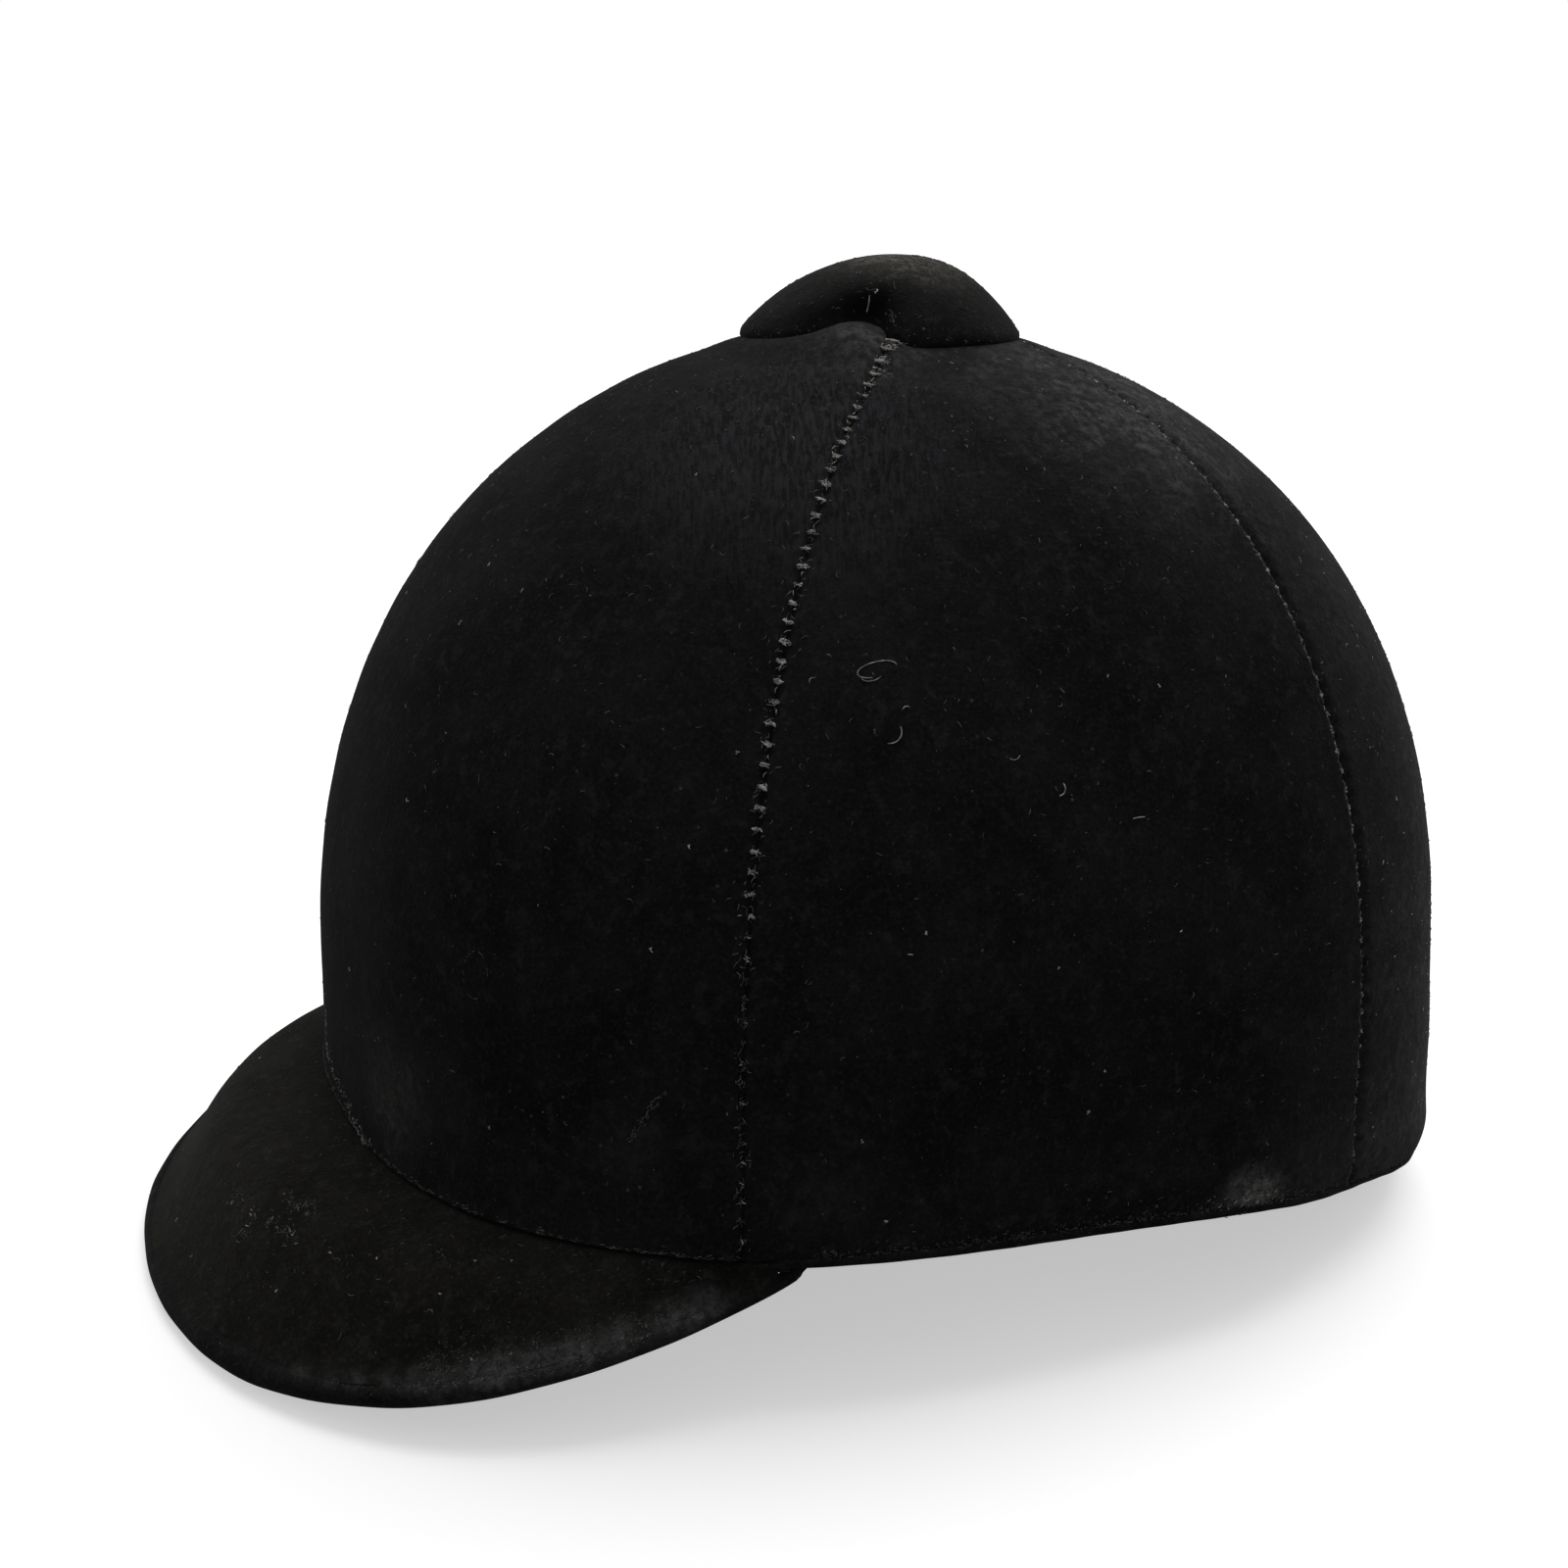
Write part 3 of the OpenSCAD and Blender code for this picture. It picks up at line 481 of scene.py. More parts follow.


# Worn and dusty places on the velvet; the broad pale places on the right side, the rear and the crown are
# dust with painted sheen, and the one on the crown's lump is a painted highlight: centre and radius in
# millimetres, strength, colour
GREY, DUST_AND_SHEEN = (0.06, 0.06, 0.061), (0.034, 0.034, 0.034)
PANEL_WEAR_AND_SHEEN = [
    ((35.5, -106.3, 26.5), 12.5, 1.2, (0.14, 0.14, 0.134)),
    ((60, -100, 26), 28, 0.5, (0.04, 0.04, 0.04)),
    ((-90, -84.8, 55), 12, 0.25, GREY),
    ((-122.5, -34, 50), 20, 1.0, (0.042, 0.042, 0.039)),
    ((-118.0, -52, 52), 22, 0.15, DUST_AND_SHEEN),
    ((-60, -70, 172), 60, 0.2, DUST_AND_SHEEN),
    # from here to the crown's top: dust with painted sheen where light grazes the right side and the rear
    ((105, -75, 60), 80, 0.95, DUST_AND_SHEEN),
    ((112, -62, 36), 42, 0.9, (0.085, 0.085, 0.083)),
    ((84, -92, 26), 30, 0.5, (0.055, 0.055, 0.054)),
    ((124, -44, 75), 80, 0.9, (0.052, 0.052, 0.052)),
    ((90, -60, 150), 70, 0.6, DUST_AND_SHEEN),
    ((36, -41, 183), 50, 0.9, (0.068, 0.068, 0.068)),
    # painted highlight on the crown's lump under the button's notch
    ((-16, -27, 197), 22, 0.9, (0.055, 0.055, 0.056)),
    ((0, 0, 196), 55, 0.5, (0.04, 0.04, 0.041)),
    ((-57, -101, 44), 12, 0.25, GREY)]
BUTTON_WEAR_AND_SHEEN = [
    # worn streaks on the button's top, made paler still as painted sheen
    ((3, -5, 213), 21, 1.0, (0.12, 0.113, 0.1)),
    ((8, -14, 209), 16, 0.5, (0.04, 0.038, 0.034)),
    ((-20, -4, 205), 14, 0.35, (0.03, 0.03, 0.026))]
# painted shade in the button's dent, deepest at its steep right side, and a broader painted shadow spreading
# left and down from it
BUTTON_PAINTED_SHADE = [((-12.5, -21.5, 201), 11.5, 0.9), ((-20.5, -17, 197.5), 12, 0.45)]
M_PANEL = velvet("velvet_panels", (0.0083, 0.0084, 0.0091), 0.014, ribs=((-42.4, -47, 178.8), 50),
                 patches=PANEL_WEAR_AND_SHEEN)
M_BUTTON = velvet("velvet_button", (0.0075, 0.0075, 0.0076), 0.03, patches=BUTTON_WEAR_AND_SHEEN,
                  painted_shade=BUTTON_PAINTED_SHADE)
M_HEM = velvet("velvet_hem", (0.0086, 0.0087, 0.0094), 0.025, dust=1.6)


def thread(name, pale, dark):
    n = Nodes(name)
    color = n.mix(n.ramp(n.noise(900, 3, 0.6), 0.35, 0.65), dark, pale)
    return n.finish(color, n.bump(n.noise(2600, 2), 0.4, 0.0002), rough=0.95, spec=0.05, sheen=0.1)


def plastic(name, color, rough, grain=900, spec=0.4):
    n = Nodes(name)
    c = n.mix(n.ramp(n.noise(60, 3), 0.3, 0.7), shade_of(color, 0.8), shade_of(color, 1.2))
    r = n.ramp(n.noise(220, 3), 0.3, 0.7, rough - 0.08, rough + 0.1)
    return n.finish(c, n.bump(n.noise(grain, 2), 0.25, 0.0003), rough=r, spec=spec)


def metal(name, color, rough=0.32):
    """Plated metal with fine drawn lines."""
    n = Nodes(name)
    f = n.noise(1.0, 3, 0.6, n.stretched(n.co, (40, 900, 900)))
    c = n.mix(n.ramp(f, 0.3, 0.7), shade_of(color, 0.82), color)
    r = n.ramp(n.noise(150, 3), 0.3, 0.7, rough - 0.08, rough + 0.12)
    return n.finish(c, n.bump(f, 0.15, 0.0002), rough=r, spec=0.5, metal=1.0)


def foam(name):
    """Moulded beads with dark gaps."""
    n = Nodes(name)
    edge = n.ramp(n.cells(330, "DISTANCE_TO_EDGE").outputs["Distance"], 0.0, 0.16)
    c = n.mix(edge, (0.014, 0.014, 0.015), (0.042, 0.042, 0.044))
    c = n.mix(n.ramp(n.noise(25, 3), 0.35, 0.7), c, (0.03, 0.03, 0.032))
    return n.finish(c, n.bump(edge, 0.6, 0.0005), rough=0.75, spec=0.25)


def knit(name, color, scale=900):
    n = Nodes(name)
    f = n.bands("DIAGONAL", n.co, scale, 1.6)
    c = n.mix(n.ramp(f, 0.2, 0.8), shade_of(color, 0.6), color)
    c = n.mix(n.ramp(n.noise(50, 3), 0.35, 0.7, 0.0, 0.5), c, shade_of(color, 1.5))
    return n.finish(c, n.bump(n.plus(f, n.noise(1200, 2)), 0.5, 0.0004), rough=0.95, spec=0.08, sheen=0.12)


def woven(name, color):
    """Webbing with ribs across the strap and fine lines along it; the UV map is in metres."""
    n = Nodes(name)
    across, along = n.bands("Y", n.stretched(n.uv, (0, 165, 1))), n.bands("X", n.stretched(n.uv, (130, 0, 1)))
    h = n.plus(across, n.times(along, 0.5))
    c = n.mix(n.ramp(h, 0.3, 1.2), shade_of(color, 0.45), color)
    return n.finish(c, n.bump(h, 0.8, 0.0004), rough=0.85, spec=0.15, sheen=0.08)


def leather(name, color):
    n = Nodes(name)
    pore = n.ramp(n.cells(900, "DISTANCE_TO_EDGE").outputs["Distance"], 0.0, 0.12)
    c = n.mix(n.ramp(n.noise(40, 4), 0.3, 0.7), shade_of(color, 0.6), shade_of(color, 1.35))
    c = n.mix(n.times(pore, 0.4), shade_of(color, 0.4), c)
    r = n.ramp(n.noise(90, 3), 0.3, 0.7, 0.42, 0.62)
    return n.finish(c, n.bump(pore, 0.35, 0.0003), rough=r, spec=0.35)


M_LINT = thread("lint", (0.5, 0.475, 0.45), (0.16, 0.15, 0.14))
M_DUST = thread("surface_dust", (0.115, 0.114, 0.112), (0.035, 0.035, 0.035))
M_THREAD = thread("black_thread", (0.02, 0.02, 0.022), (0.008, 0.008, 0.009))
M_SHELL = plastic("shell_plastic", (0.028, 0.03, 0.034), 0.4)
M_MOULD = plastic("moulded_plastic", (0.035, 0.037, 0.04), 0.5)
M_BUCKLE = plastic("buckle_plastic", (0.012, 0.012, 0.013), 0.38, 1400)
M_BOARD = plastic("visor_board", (0.009, 0.009, 0.0095), 0.85, spec=0.06)
M_STEEL = metal("plated_steel", (0.55, 0.56, 0.57))
M_FOAM = foam("bead_foam")
M_LINING = knit("lining_knit", (0.022, 0.022, 0.025))
M_UNDER = knit("underlay_cloth", (0.014, 0.014, 0.016), 1500)
M_WEB = woven("webbing", (0.02, 0.02, 0.022))
M_LEATHER = leather("sweatband_leather", (0.022, 0.019, 0.017))


# Camera at the photograph's view, in metres; lens and sensor in millimetres

EYE, AIM = Vector((-0.19059, -0.44313, 0.23068)), Vector((-0.00356, 0, 0.09503))
LENS, SENSOR = 50.49, 36.0
cam = bpy.data.objects.new("camera", bpy.data.cameras.new("camera"))
bpy.context.scene.collection.objects.link(cam)
cam.data.lens, cam.data.sensor_width = LENS, SENSOR
cam.data.clip_start, cam.data.clip_end = 0.02, 50
cam.location = EYE
cam.rotation_mode = "QUATERNION"
cam.rotation_quaternion = (AIM - EYE).to_track_quat("-Z", "Y")
bpy.context.scene.camera = cam
bpy.context.scene.view_settings.view_transform = "Standard"

# Floor, world and lamps: white where the camera, metal and plastic see them, pale for the light they throw

# Half width of the floor in metres, and the world's strength for the light it throws and to the eye
FLOOR_HALF, WORLD_LIGHT, WORLD_SEEN = 20, 0.4, 1.0
WHITE = (1, 1, 1)


def seen_by_eye(tree):
    """1 on camera, glossy and transmission rays."""
    lp = tree.nodes.new("ShaderNodeLightPath")
    last = lp.outputs["Is Camera Ray"]
    for kind in ("Is Glossy Ray", "Is Transmission Ray"):
        m = tree.nodes.new("ShaderNodeMath")
        m.operation = "MAXIMUM"
        tree.links.new(last, m.inputs[0])
        tree.links.new(lp.outputs[kind], m.inputs[1])
        last = m.outputs[0]
    return last


def floor_material():
    """A white floor to the eye that throws little light up, and is open from below."""
    n = Nodes("floor")
    white = n.mix(n.ramp(n.noise(3, 2), 0.3, 0.7, 0.97, 1.0), (0.65, 0.65, 0.65), (0.67, 0.67, 0.67))
    seen = seen_by_eye(n.t)
    n.finish(n.mix(seen, (0.2, 0.2, 0.2), white), rough=0.95, spec=0.0)
    n.put(n.p.inputs["Emission Color"], WHITE)
    n.put(n.p.inputs["Emission Strength"], n.times(seen, 0.5))
    pick = n.node("MixShader", {0: n.node("NewGeometry").outputs["Backfacing"], 1: n.p.outputs[0],
                                2: n.node("BsdfTransparent").outputs[0]})
    n.put(n.t.nodes["Material Output"].inputs["Surface"], pick.outputs[0])
    return n.m


me = bpy.data.meshes.new("floor")
corners = [(x * FLOOR_HALF, y * FLOOR_HALF, 0) for x, y in ((-1, -1), (1, -1), (1, 1), (-1, 1))]
me.from_pydata(corners, [], [(0, 1, 2, 3)])
me.materials.append(floor_material())
floor = bpy.data.objects.new("floor", me)
bpy.context.scene.collection.objects.link(floor)

world = bpy.data.worlds.new("world")
bpy.context.scene.world = world
world.use_nodes = True
wt = world.node_tree
bg = wt.nodes["Background"]
bg.inputs["Color"].default_value = (*WHITE, 1)
level = wt.nodes.new("ShaderNodeMapRange")
level.inputs["To Min"].default_value = WORLD_LIGHT
level.inputs["To Max"].default_value = WORLD_SEEN
wt.links.new(seen_by_eye(wt), level.inputs["Value"])
wt.links.new(level.outputs["Result"], bg.inputs["Strength"])


def sun(name, towards, strength, angle):
    """A sun lamp; towards points from the cap to it, angle is its width in degrees."""
    lamp = bpy.data.lights.new(name, "SUN")
    lamp.energy, lamp.angle = strength, math.radians(angle)
    o = bpy.data.objects.new(name, lamp)
    o.rotation_mode = "QUATERNION"
    o.rotation_quaternion = Vector(towards).to_track_quat("Z", "Y")
    bpy.context.scene.collection.objects.link(o)


sun("key", (0.35, 0.32, 1.0), 2.0, 60)
sun("rim", (0.75, 0.25, 0.35), 0.6, 40)


# Velvet panels

def lower_lift(direction):
    """Lift of the panels' lower edge: over the visor's root in front, on the binding elsewhere."""
    return 2.0 - 1.0 * smooth(34, 50, np.abs(turn_from(np.asarray(direction))))


def wall_rise(direction, lift, depth=0.0):
    """Rise of the wall's points at a lift above the rim."""
    return rise_of(rim_point(direction, depth, lift))


def seam_shape(e, length, width, depth):
    """Velvet rolls down into a seam; it is pinched narrow at each stitch."""
    w = width * (1 - 0.38 * np.cos(2 * np.pi * length / STITCH))
    return 0.16 * hump(e - w, 0.8, 1.0) - depth * fade(e, w) ** 1.6


def columns(d0, d1):
    """Directions of a panel's columns, close together beside its seams."""
    fine = np.array([-0.05, 0.12, 0.3, 0.5, 0.72, 1.0, 1.4, 1.9, 2.6, 3.4, 4.4])
    n = int((d1 - d0 - 9) / 1.1)
    return np.concatenate([d0 + fine, np.linspace(d0 + fine[-1], d1 - fine[-1], n)[1:-1], d1 - fine[::-1]])


ROWS = np.concatenate([[0, .0015, .0035, .006, .009, .013], np.linspace(0.018, 1, 235)])
# Depth of the panels' inner side, and the width that a radian of a panel has in its UV map, in metres
PANEL_T, UV_WIDTH = 1.5, 0.105


def panel(name, node, d0, d1, seam0, seam1):
    """A velvet panel between the directions of two seams, each given with its width and depth."""
    di = columns(d0, d1)
    lo = wall_rise(di, lower_lift(di))
    ri = lo[:, None] + (hole_rise(di) - lo)[:, None] * ROWS[None, :]
    dd = np.broadcast_to(di[:, None], ri.shape)
    p = skin(dd, ri)
    length = running_length(p)
    rho = np.hypot(p[..., 0] - POLE[0], p[..., 1])
    h = 0
    for turn, seam in ((dd - d0, seam0), (d1 - dd, seam1)):
        h = h + seam_shape(np.where(turn > 60, 99, rho * np.sin(np.radians(turn))), length, *seam)
    h = h - 0.5 * smooth(46, 58, np.abs(turn_from(dd))) * fade(length, 1.9) ** 2
    h = h + 0.14 * waviness(p) * smooth(2, 12, length) + crown_bulge(p)
    v, f = slab(skin(dd, ri, -h), skin(dd, ri, PANEL_T))
    uv = np.stack([np.radians(dd - (d0 + d1) / 2) * UV_WIDTH, (length[:, -1:] - length) / 1000], -1)
    o = make(name, v, f, M_PANEL, slot="velvet", uv=uv, wall=True)
    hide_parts(node)


FRONT_SEAM, REAR_SEAM, REAR_WIDE = (1.45, 1.2), (1.1, 1.25), (2.4, 1.35)
panel("front_panel_velvet", "front_velvet_panel", -SEAM_F, SEAM_F, FRONT_SEAM, FRONT_SEAM)
panel("left_panel_velvet", "left_velvet_panel", SEAM_F, SEAM_R, FRONT_SEAM, REAR_SEAM)
panel("right_panel_velvet", "right_velvet_panel", -SEAM_R, -SEAM_F, REAR_SEAM, FRONT_SEAM)
panel("rear_panel_velvet", "rear_velvet_panel", SEAM_R, 360 - SEAM_R, REAR_WIDE, REAR_WIDE)


# Seam threads, the lint caught in the seams, and loose fibres and dust on the velvet

def turned(a, b, angle):
    angle = np.asarray(angle, float)[..., None]
    return a * np.cos(angle) + b * np.sin(angle)


def even(lo, hi):
    """Even random draws between two ends, made when the hairs are laid."""
    return lambda count: nrng.uniform(lo, hi, count)


def bell(mean, spread):
    """Normal random draws, made when the hairs are laid."""
    return lambda count: nrng.normal(mean, spread, count)


def drawn(count, *values):
    return [q(count) if callable(q) else q for q in values]


def seam_places(direction):
    """Frames at the stitches of a seam from the rim up, and each one's share of the seam's length."""
    di = np.array([direction])
    ri = np.linspace(wall_rise(di, lower_lift(direction))[0], hole_rise(di)[0], 1200)
    s = running_length(skin(np.full(1200, direction), ri))
    at = np.arange(STITCH, s[-1] - 0.5, STITCH)
    p, n, a, b = dome_frame(np.full(len(at), direction), np.interp(at, s, ri))
    return p + n * crown_bulge(p)[:, None], n, a, b, at / s[-1]


def tuft(bag, p, frame, count, spread, half, radius, lean=0.0, turn=0.8):
    """Count hairs about one point of the dome; spread across and along."""
    n, a, b = frame
    c = p + a * nrng.normal(0, spread[0], (count, 1)) + b * nrng.normal(0, spread[1], (count, 1))
    w = turned(a[None], b[None], nrng.normal(lean, turn, count))
    bag.hairs(c + n * nrng.uniform(-0.1, 0.2, (count, 1)), np.repeat(n[None], count, 0), w,
              nrng.uniform(*half, count), nrng.uniform(-0.25, 0.25, count), nrng.uniform(*radius, count))


BOW_T = np.linspace(-1, 1, 7)[:, None]


def front_seam(direction, threads, lint, dust):
    """Tufts of pale lint at the stitches, faint below and run together near the crown."""
    for p, n, a, b, share in zip(*seam_places(direction)):
        frame = n, a, b
        half = 1.15 * rnd.uniform(0.85, 1.15)
        across = turned(a, b, rnd.uniform(-0.3, 0.3))
        threads.tube(p + across * half * BOW_T - n * (0.5 * BOW_T ** 2 + 0.45), 0.3, 6, n, 0.7)
        bright = float(smooth(0.24, 0.42, share))
        crown = float(smooth(0.84, 0.95, share))
        middle = p + a * rnd.gauss(0, 0.14) + n * (0.25 * crown - 0.25)
        count = int((19 + 7 * crown) * bright * rnd.uniform(0.55, 1.2) + rnd.uniform(0, 2.5))
        tuft(lint, middle, frame, count, (0.72 + 0.1 * crown, 0.2), (0.25, 0.8), (0.07, 0.15), 0.0, 0.5)
        low = middle - n * 0.15
        tuft(dust, low, frame, int(6 - 2 * bright), (0.4, 0.7), (0.2, 0.6), (0.04, 0.07), 1.2, 0.6)
        beside = p + b * rnd.uniform(-1.9, 1.9) - n * 0.05
        tuft(dust, beside, frame, int(4 + 14 * crown), (1.4, 1.0), (0.3, 0.8), (0.06, 0.1), 0.9, 0.7)
        tuft(lint, p + b * STITCH / 2, frame, int(bright + 22 * crown), (0.5 + 0.4 * crown, 0.9), (0.25, 0.7),
             (0.06, 0.11 + 0.04 * crown), 1.2, 0.6)


def rear_seam(direction, threads, lint, dust):
    """Small knots on the front side of the groove, with a thin pale ridge of nap between them."""
    side = -1 if direction > 0 else 1
    for p, n, a, b, share in zip(*seam_places(direction)):
        frame = n, a, b
        threads.tube(p + a * 0.95 * BOW_T - n * (0.4 * BOW_T ** 2 + 0.4), 0.28, 6, n, 0.7)
        strength = 0.4 + 0.6 * float(smooth(0.2, 0.5, share))
        count = int(strength * rnd.uniform(5, 14))
        tuft(lint, p + a * side * 0.75 - n * 0.1, frame, count, (0.26, 0.3), (0.15, 0.45), (0.09, 0.15))
        between = p + a * side * 0.95 + b * STITCH / 2
        tuft(lint, between, frame, int(strength * 3), (0.15, 1.0), (0.3, 0.7), (0.05, 0.08), 1.57, 0.25)
        ridge = p + a * side
        tuft(dust, ridge, frame, int(strength * 13), (0.2, 1.2), (0.4, 1.0), (0.06, 0.1), 1.57, 0.3)


threads, lint, dust = Bag(), Bag(), Bag()
for direction in (SEAM_F, -SEAM_F):
    front_seam(direction, threads, lint, dust)
for direction in (SEAM_R, -SEAM_R):
    rear_seam(direction, threads, lint, dust)


def on_dome(bag, direction, rise, half, bend, thick, turn):
    """Hairs on the dome; their sizes and turns are numbers or draws."""
    direction, rise = np.broadcast_arrays(np.asarray(direction, float), np.asarray(rise, float))
    half, bend, thick, turn = drawn(len(direction), half, bend, thick, turn)
    p, n, a, b = dome_frame(direction, rise)
    bag.hairs(p + n * crown_bulge(p)[:, None], n, turned(a, b, turn), half, bend, thick)


# Curled hairs: direction, rise, radius, first and last angle, squash, turn, thickness
CURLS = ((57.5, 38.8, 3.9, -10, 250, 0.36, 0.42, 0.085), (57.0, 38.2, 2.0, 170, 330, 0.5, 0.42, 0.06),
         (58.6, 34.0, 3.4, -60, 40, 0.8, -0.35, 0.085), (77.1, 30.0, 1.4, -70, 60, 1.0, -0.3, 0.11),
         (86.8, 25.6, 5.5, 80, 108, 0.5, 0.0, 0.09), (72.2, 32.9, 1.2, 200, 330, 0.8, 0.4, 0.07))
# Specks of lint: direction, rise, size
SPECKS = ((9.1, 40.4, 1), (10.4, 35.1, .7), (63.2, 16.9, .8), (76.5, 13.1, .9), (81.9, 1.7, .6),
          (80.1, -2.4, .8), (57.9, -2.1, .8), (121.3, -13.1, .7), (40.5, 14.0, .7), (4.5, 3.6, .8),
          (-9.9, 34.5, .9), (128.6, 21.4, 1), (91.0, 15.3, .5), (26.9, -3.0, .7), (42.7, 22.4, .6),
          (45.6, 30.2, .5), (60.1, -9.9, .6), (91.8, 39.0, .6), (84.8, 40.2, .8))
# Lint climbing from the visor's root: directions and rises on its way
CLIMB = np.array([(-8.6, -4.4), (-8.4, -8.4), (-3.8, -9.3), (3.6, -10.0), (9.0, -11.2)])


def curl(direction, rise, radius, start, end, squash, turn, thick):
    """A hair bent round in a loop: start and end angle on an oval."""
    p, n, a, b = (q[0] for q in dome_frame(np.array([direction]), np.array([rise])))
    u, w = turned(a, b, turn), turned(a, b, turn + math.pi / 2)
    t = np.radians(np.linspace(start, end, 18))[:, None]
    lint.tube(p + u * radius * np.cos(t) + w * radius * squash * np.sin(t) + n * 0.1, thick, 4, n, 0.8)


def scuff(count):
    s = nrng.random(count)
    on_dome(dust, 39.1 + 3.1 * s + nrng.normal(0, 0.2, count), -2.1 + 4.9 * s + nrng.normal(0, 0.2, count),
            even(0.25, 0.8), even(-0.15, 0.15), even(0.04, 0.08), bell(0.95, 0.35))


def specks():
    at = np.repeat(np.array(SPECKS), 4, 0)
    k = len(at)
    on_dome(lint, at[:, 0] + nrng.normal(0, 0.06, k), at[:, 1] + nrng.normal(0, 0.07, k),
            at[:, 2] * nrng.uniform(0.25, 0.5, k), 0.06, 0.1, even(0, 3.1))


def worn_patch(bag, count):
    """Pressed nap above the hem on the left side."""
    on_dome(bag, 101.3 + nrng.normal(0, 1.8, count), -17.2 + np.abs(nrng.normal(0, 1.6, count)),
            even(0.25, 0.8), 0.12, even(0.05, 0.09), bell(0.4, 0.6))


def swirl(count):
    turn = nrng.uniform(0, 6.28, count)
    on_dome(dust, 25.3 + 1.3 * np.cos(turn), 9.2 + 1.9 * np.sin(turn), 0.5, 0.1, 0.055, turn + 1.57)


def climbing(bag, count):
    s = nrng.uniform(0, 4, count)
    i = s.astype(int)
    q = CLIMB[i] + (CLIMB[i + 1] - CLIMB[i]) * (s - i)[:, None]
    on_dome(bag, q[:, 0] + nrng.normal(0, 0.35, count), q[:, 1] + np.abs(nrng.normal(0, 0.55, count)),
            even(0.2, 0.8), even(-0.15, 0.15), even(0.05, 0.1), bell(0.2, 0.7))


def share_at(rise, direction, low, high, behind):
    """Grows from low with the height on the crown and behind the rear seams."""
    return low + high * smooth(50, 66, rise) + behind * smooth(112, 124, np.abs(turn_from(direction)))


def loose_fibres(count):
    """Short curved hairs all over the dome, most of them high up and behind."""
    z = nrng.uniform(-0.27, 0.985, count)
    rise, direction = np.degrees(np.arcsin(z)), nrng.uniform(0, 360, count)
    share = share_at(rise, direction, 0.2 + 0.35 * smooth(10, 50, rise), 0.8, 0.7)
    keep = nrng.random(count) < share
    rise, direction = rise[keep], direction[keep]
    p = skin(direction, rise)
    keep = (p[:, 2] > rim_z(p[:, 0]) + 4) & (np.hypot(p[:, 0], p[:, 1]) > 30)
    rise, direction = rise[keep], direction[keep]
    pale = nrng.random(len(rise)) < share_at(rise, direction, 0.035, 0.1, 0.11)
    for bag, own in ((lint, pale), (dust, ~pale)):
        k = int(own.sum())
        half = 0.13 + 0.75 * nrng.random(k) ** 2.6
        on_dome(bag, direction[own], rise[own], half, half * nrng.uniform(-0.8, 0.8, k),
                nrng.uniform(0.045, 0.085, k) + 0.04 * (nrng.random(k) < 0.2), even(0, 3.14))


def hem_dust(count):
    """Lint along the crease above the binding and along the visor's root."""
    away = nrng.uniform(54, 176, count) * nrng.choice([-1, 1], count)
    lift = lower_lift(away) + np.abs(nrng.normal(0, 1.0, count)) + 0.1
    on_dome(dust, away, wall_rise(away, lift), even(0.12, 0.5), even(-0.1, 0.1), even(0.03, 0.055),
            bell(0, 0.6))
    front = nrng.uniform(-48, 48, count // 5)
    lift = lower_lift(front) + 0.2 + np.abs(nrng.normal(0, 0.5, count // 5))
    on_dome(dust, front, wall_rise(front, lift), even(0.3, 0.9), 0.1, even(0.045, 0.08), bell(0, 0.3))


for values in CURLS:
    curl(*values)
scuff(34)
specks()
worn_patch(dust, 150)
worn_patch(lint, 24)
swirl(18)
climbing(dust, 150)
climbing(lint, 70)
loose_fibres(9000)
hem_dust(1900)
threads.make("seam_stitches", M_THREAD, slot="velvet", wall=True)
lint.make("seam_lint", M_LINT, slot="velvet", wall=True)
dust.make("velvet_dust", M_DUST, slot="velvet", wall=True)

# Visor: a velvet top, the cloth below it and the rolled edge

# Front of the seat, reach, powers of the edge's plan, its dip at the quarters and power of its fall
SEAT_X, REACH, NOSE, SIDE, DIP, FALL = 61.3, 105.7, 0.72, 0.99, 0.7, 0.6
# Rise of the visor's middle, how far it leans to the root, the roll's radius and taper, the sheets' height
CAMBER, LEAN, ROLL, TAPER, STACK = 11.0, 0.52, 2.6, 0.42, 6.0
UP = np.array([0, 0, 1.0])
# The sheets end on the flats of the roll's eight sides
FLAT = math.cos(math.pi / 8)


def roll_radius(a):
    return ROLL * (1 - TAPER * (np.maximum(0, np.abs(a) - 50) / 40) ** 2)


def half_across(x, z, d):
    share = section(z, d) ** SQUARE - (abs(x) / (HALF_LENGTH - d)) ** SQUARE
    return (HALF_WIDTH - d) * share ** (1 / SQUARE)


SEAT_Y = float(half_across(SEAT_X, rim_z(-SEAT_X), 3.0))
SEAT_Z = float(rim_z(-SEAT_X)) - 1.3 - float(roll_radius(90)) / FLAT
SEAT_TURN = math.degrees(math.atan2(SEAT_Y, POLE[0] + SEAT_X))


def edge_point(a):
    """Middle of the rolled edge; a runs from -90 at one end over 0 in front to 90."""
    a = np.asarray(a, float)
    r = np.radians(a)
    c = np.maximum(0, np.cos(r))
    return np.stack([-SEAT_X - REACH * c ** NOSE, -np.sign(a) * SEAT_Y * np.abs(np.sin(r)) ** SIDE,
                     SEAT_Z + (ROLL - SEAT_Z) * c ** FALL - DIP * np.sin(2 * r) ** 2], -1)


def edge_frame(a):
    """Directions along the edge, out from it and up from it."""
    way = unit(edge_point(a + 0.5) - edge_point(a - 0.5))
    out = unit(np.cross(way, UP))
    return way, out, np.cross(out, way)


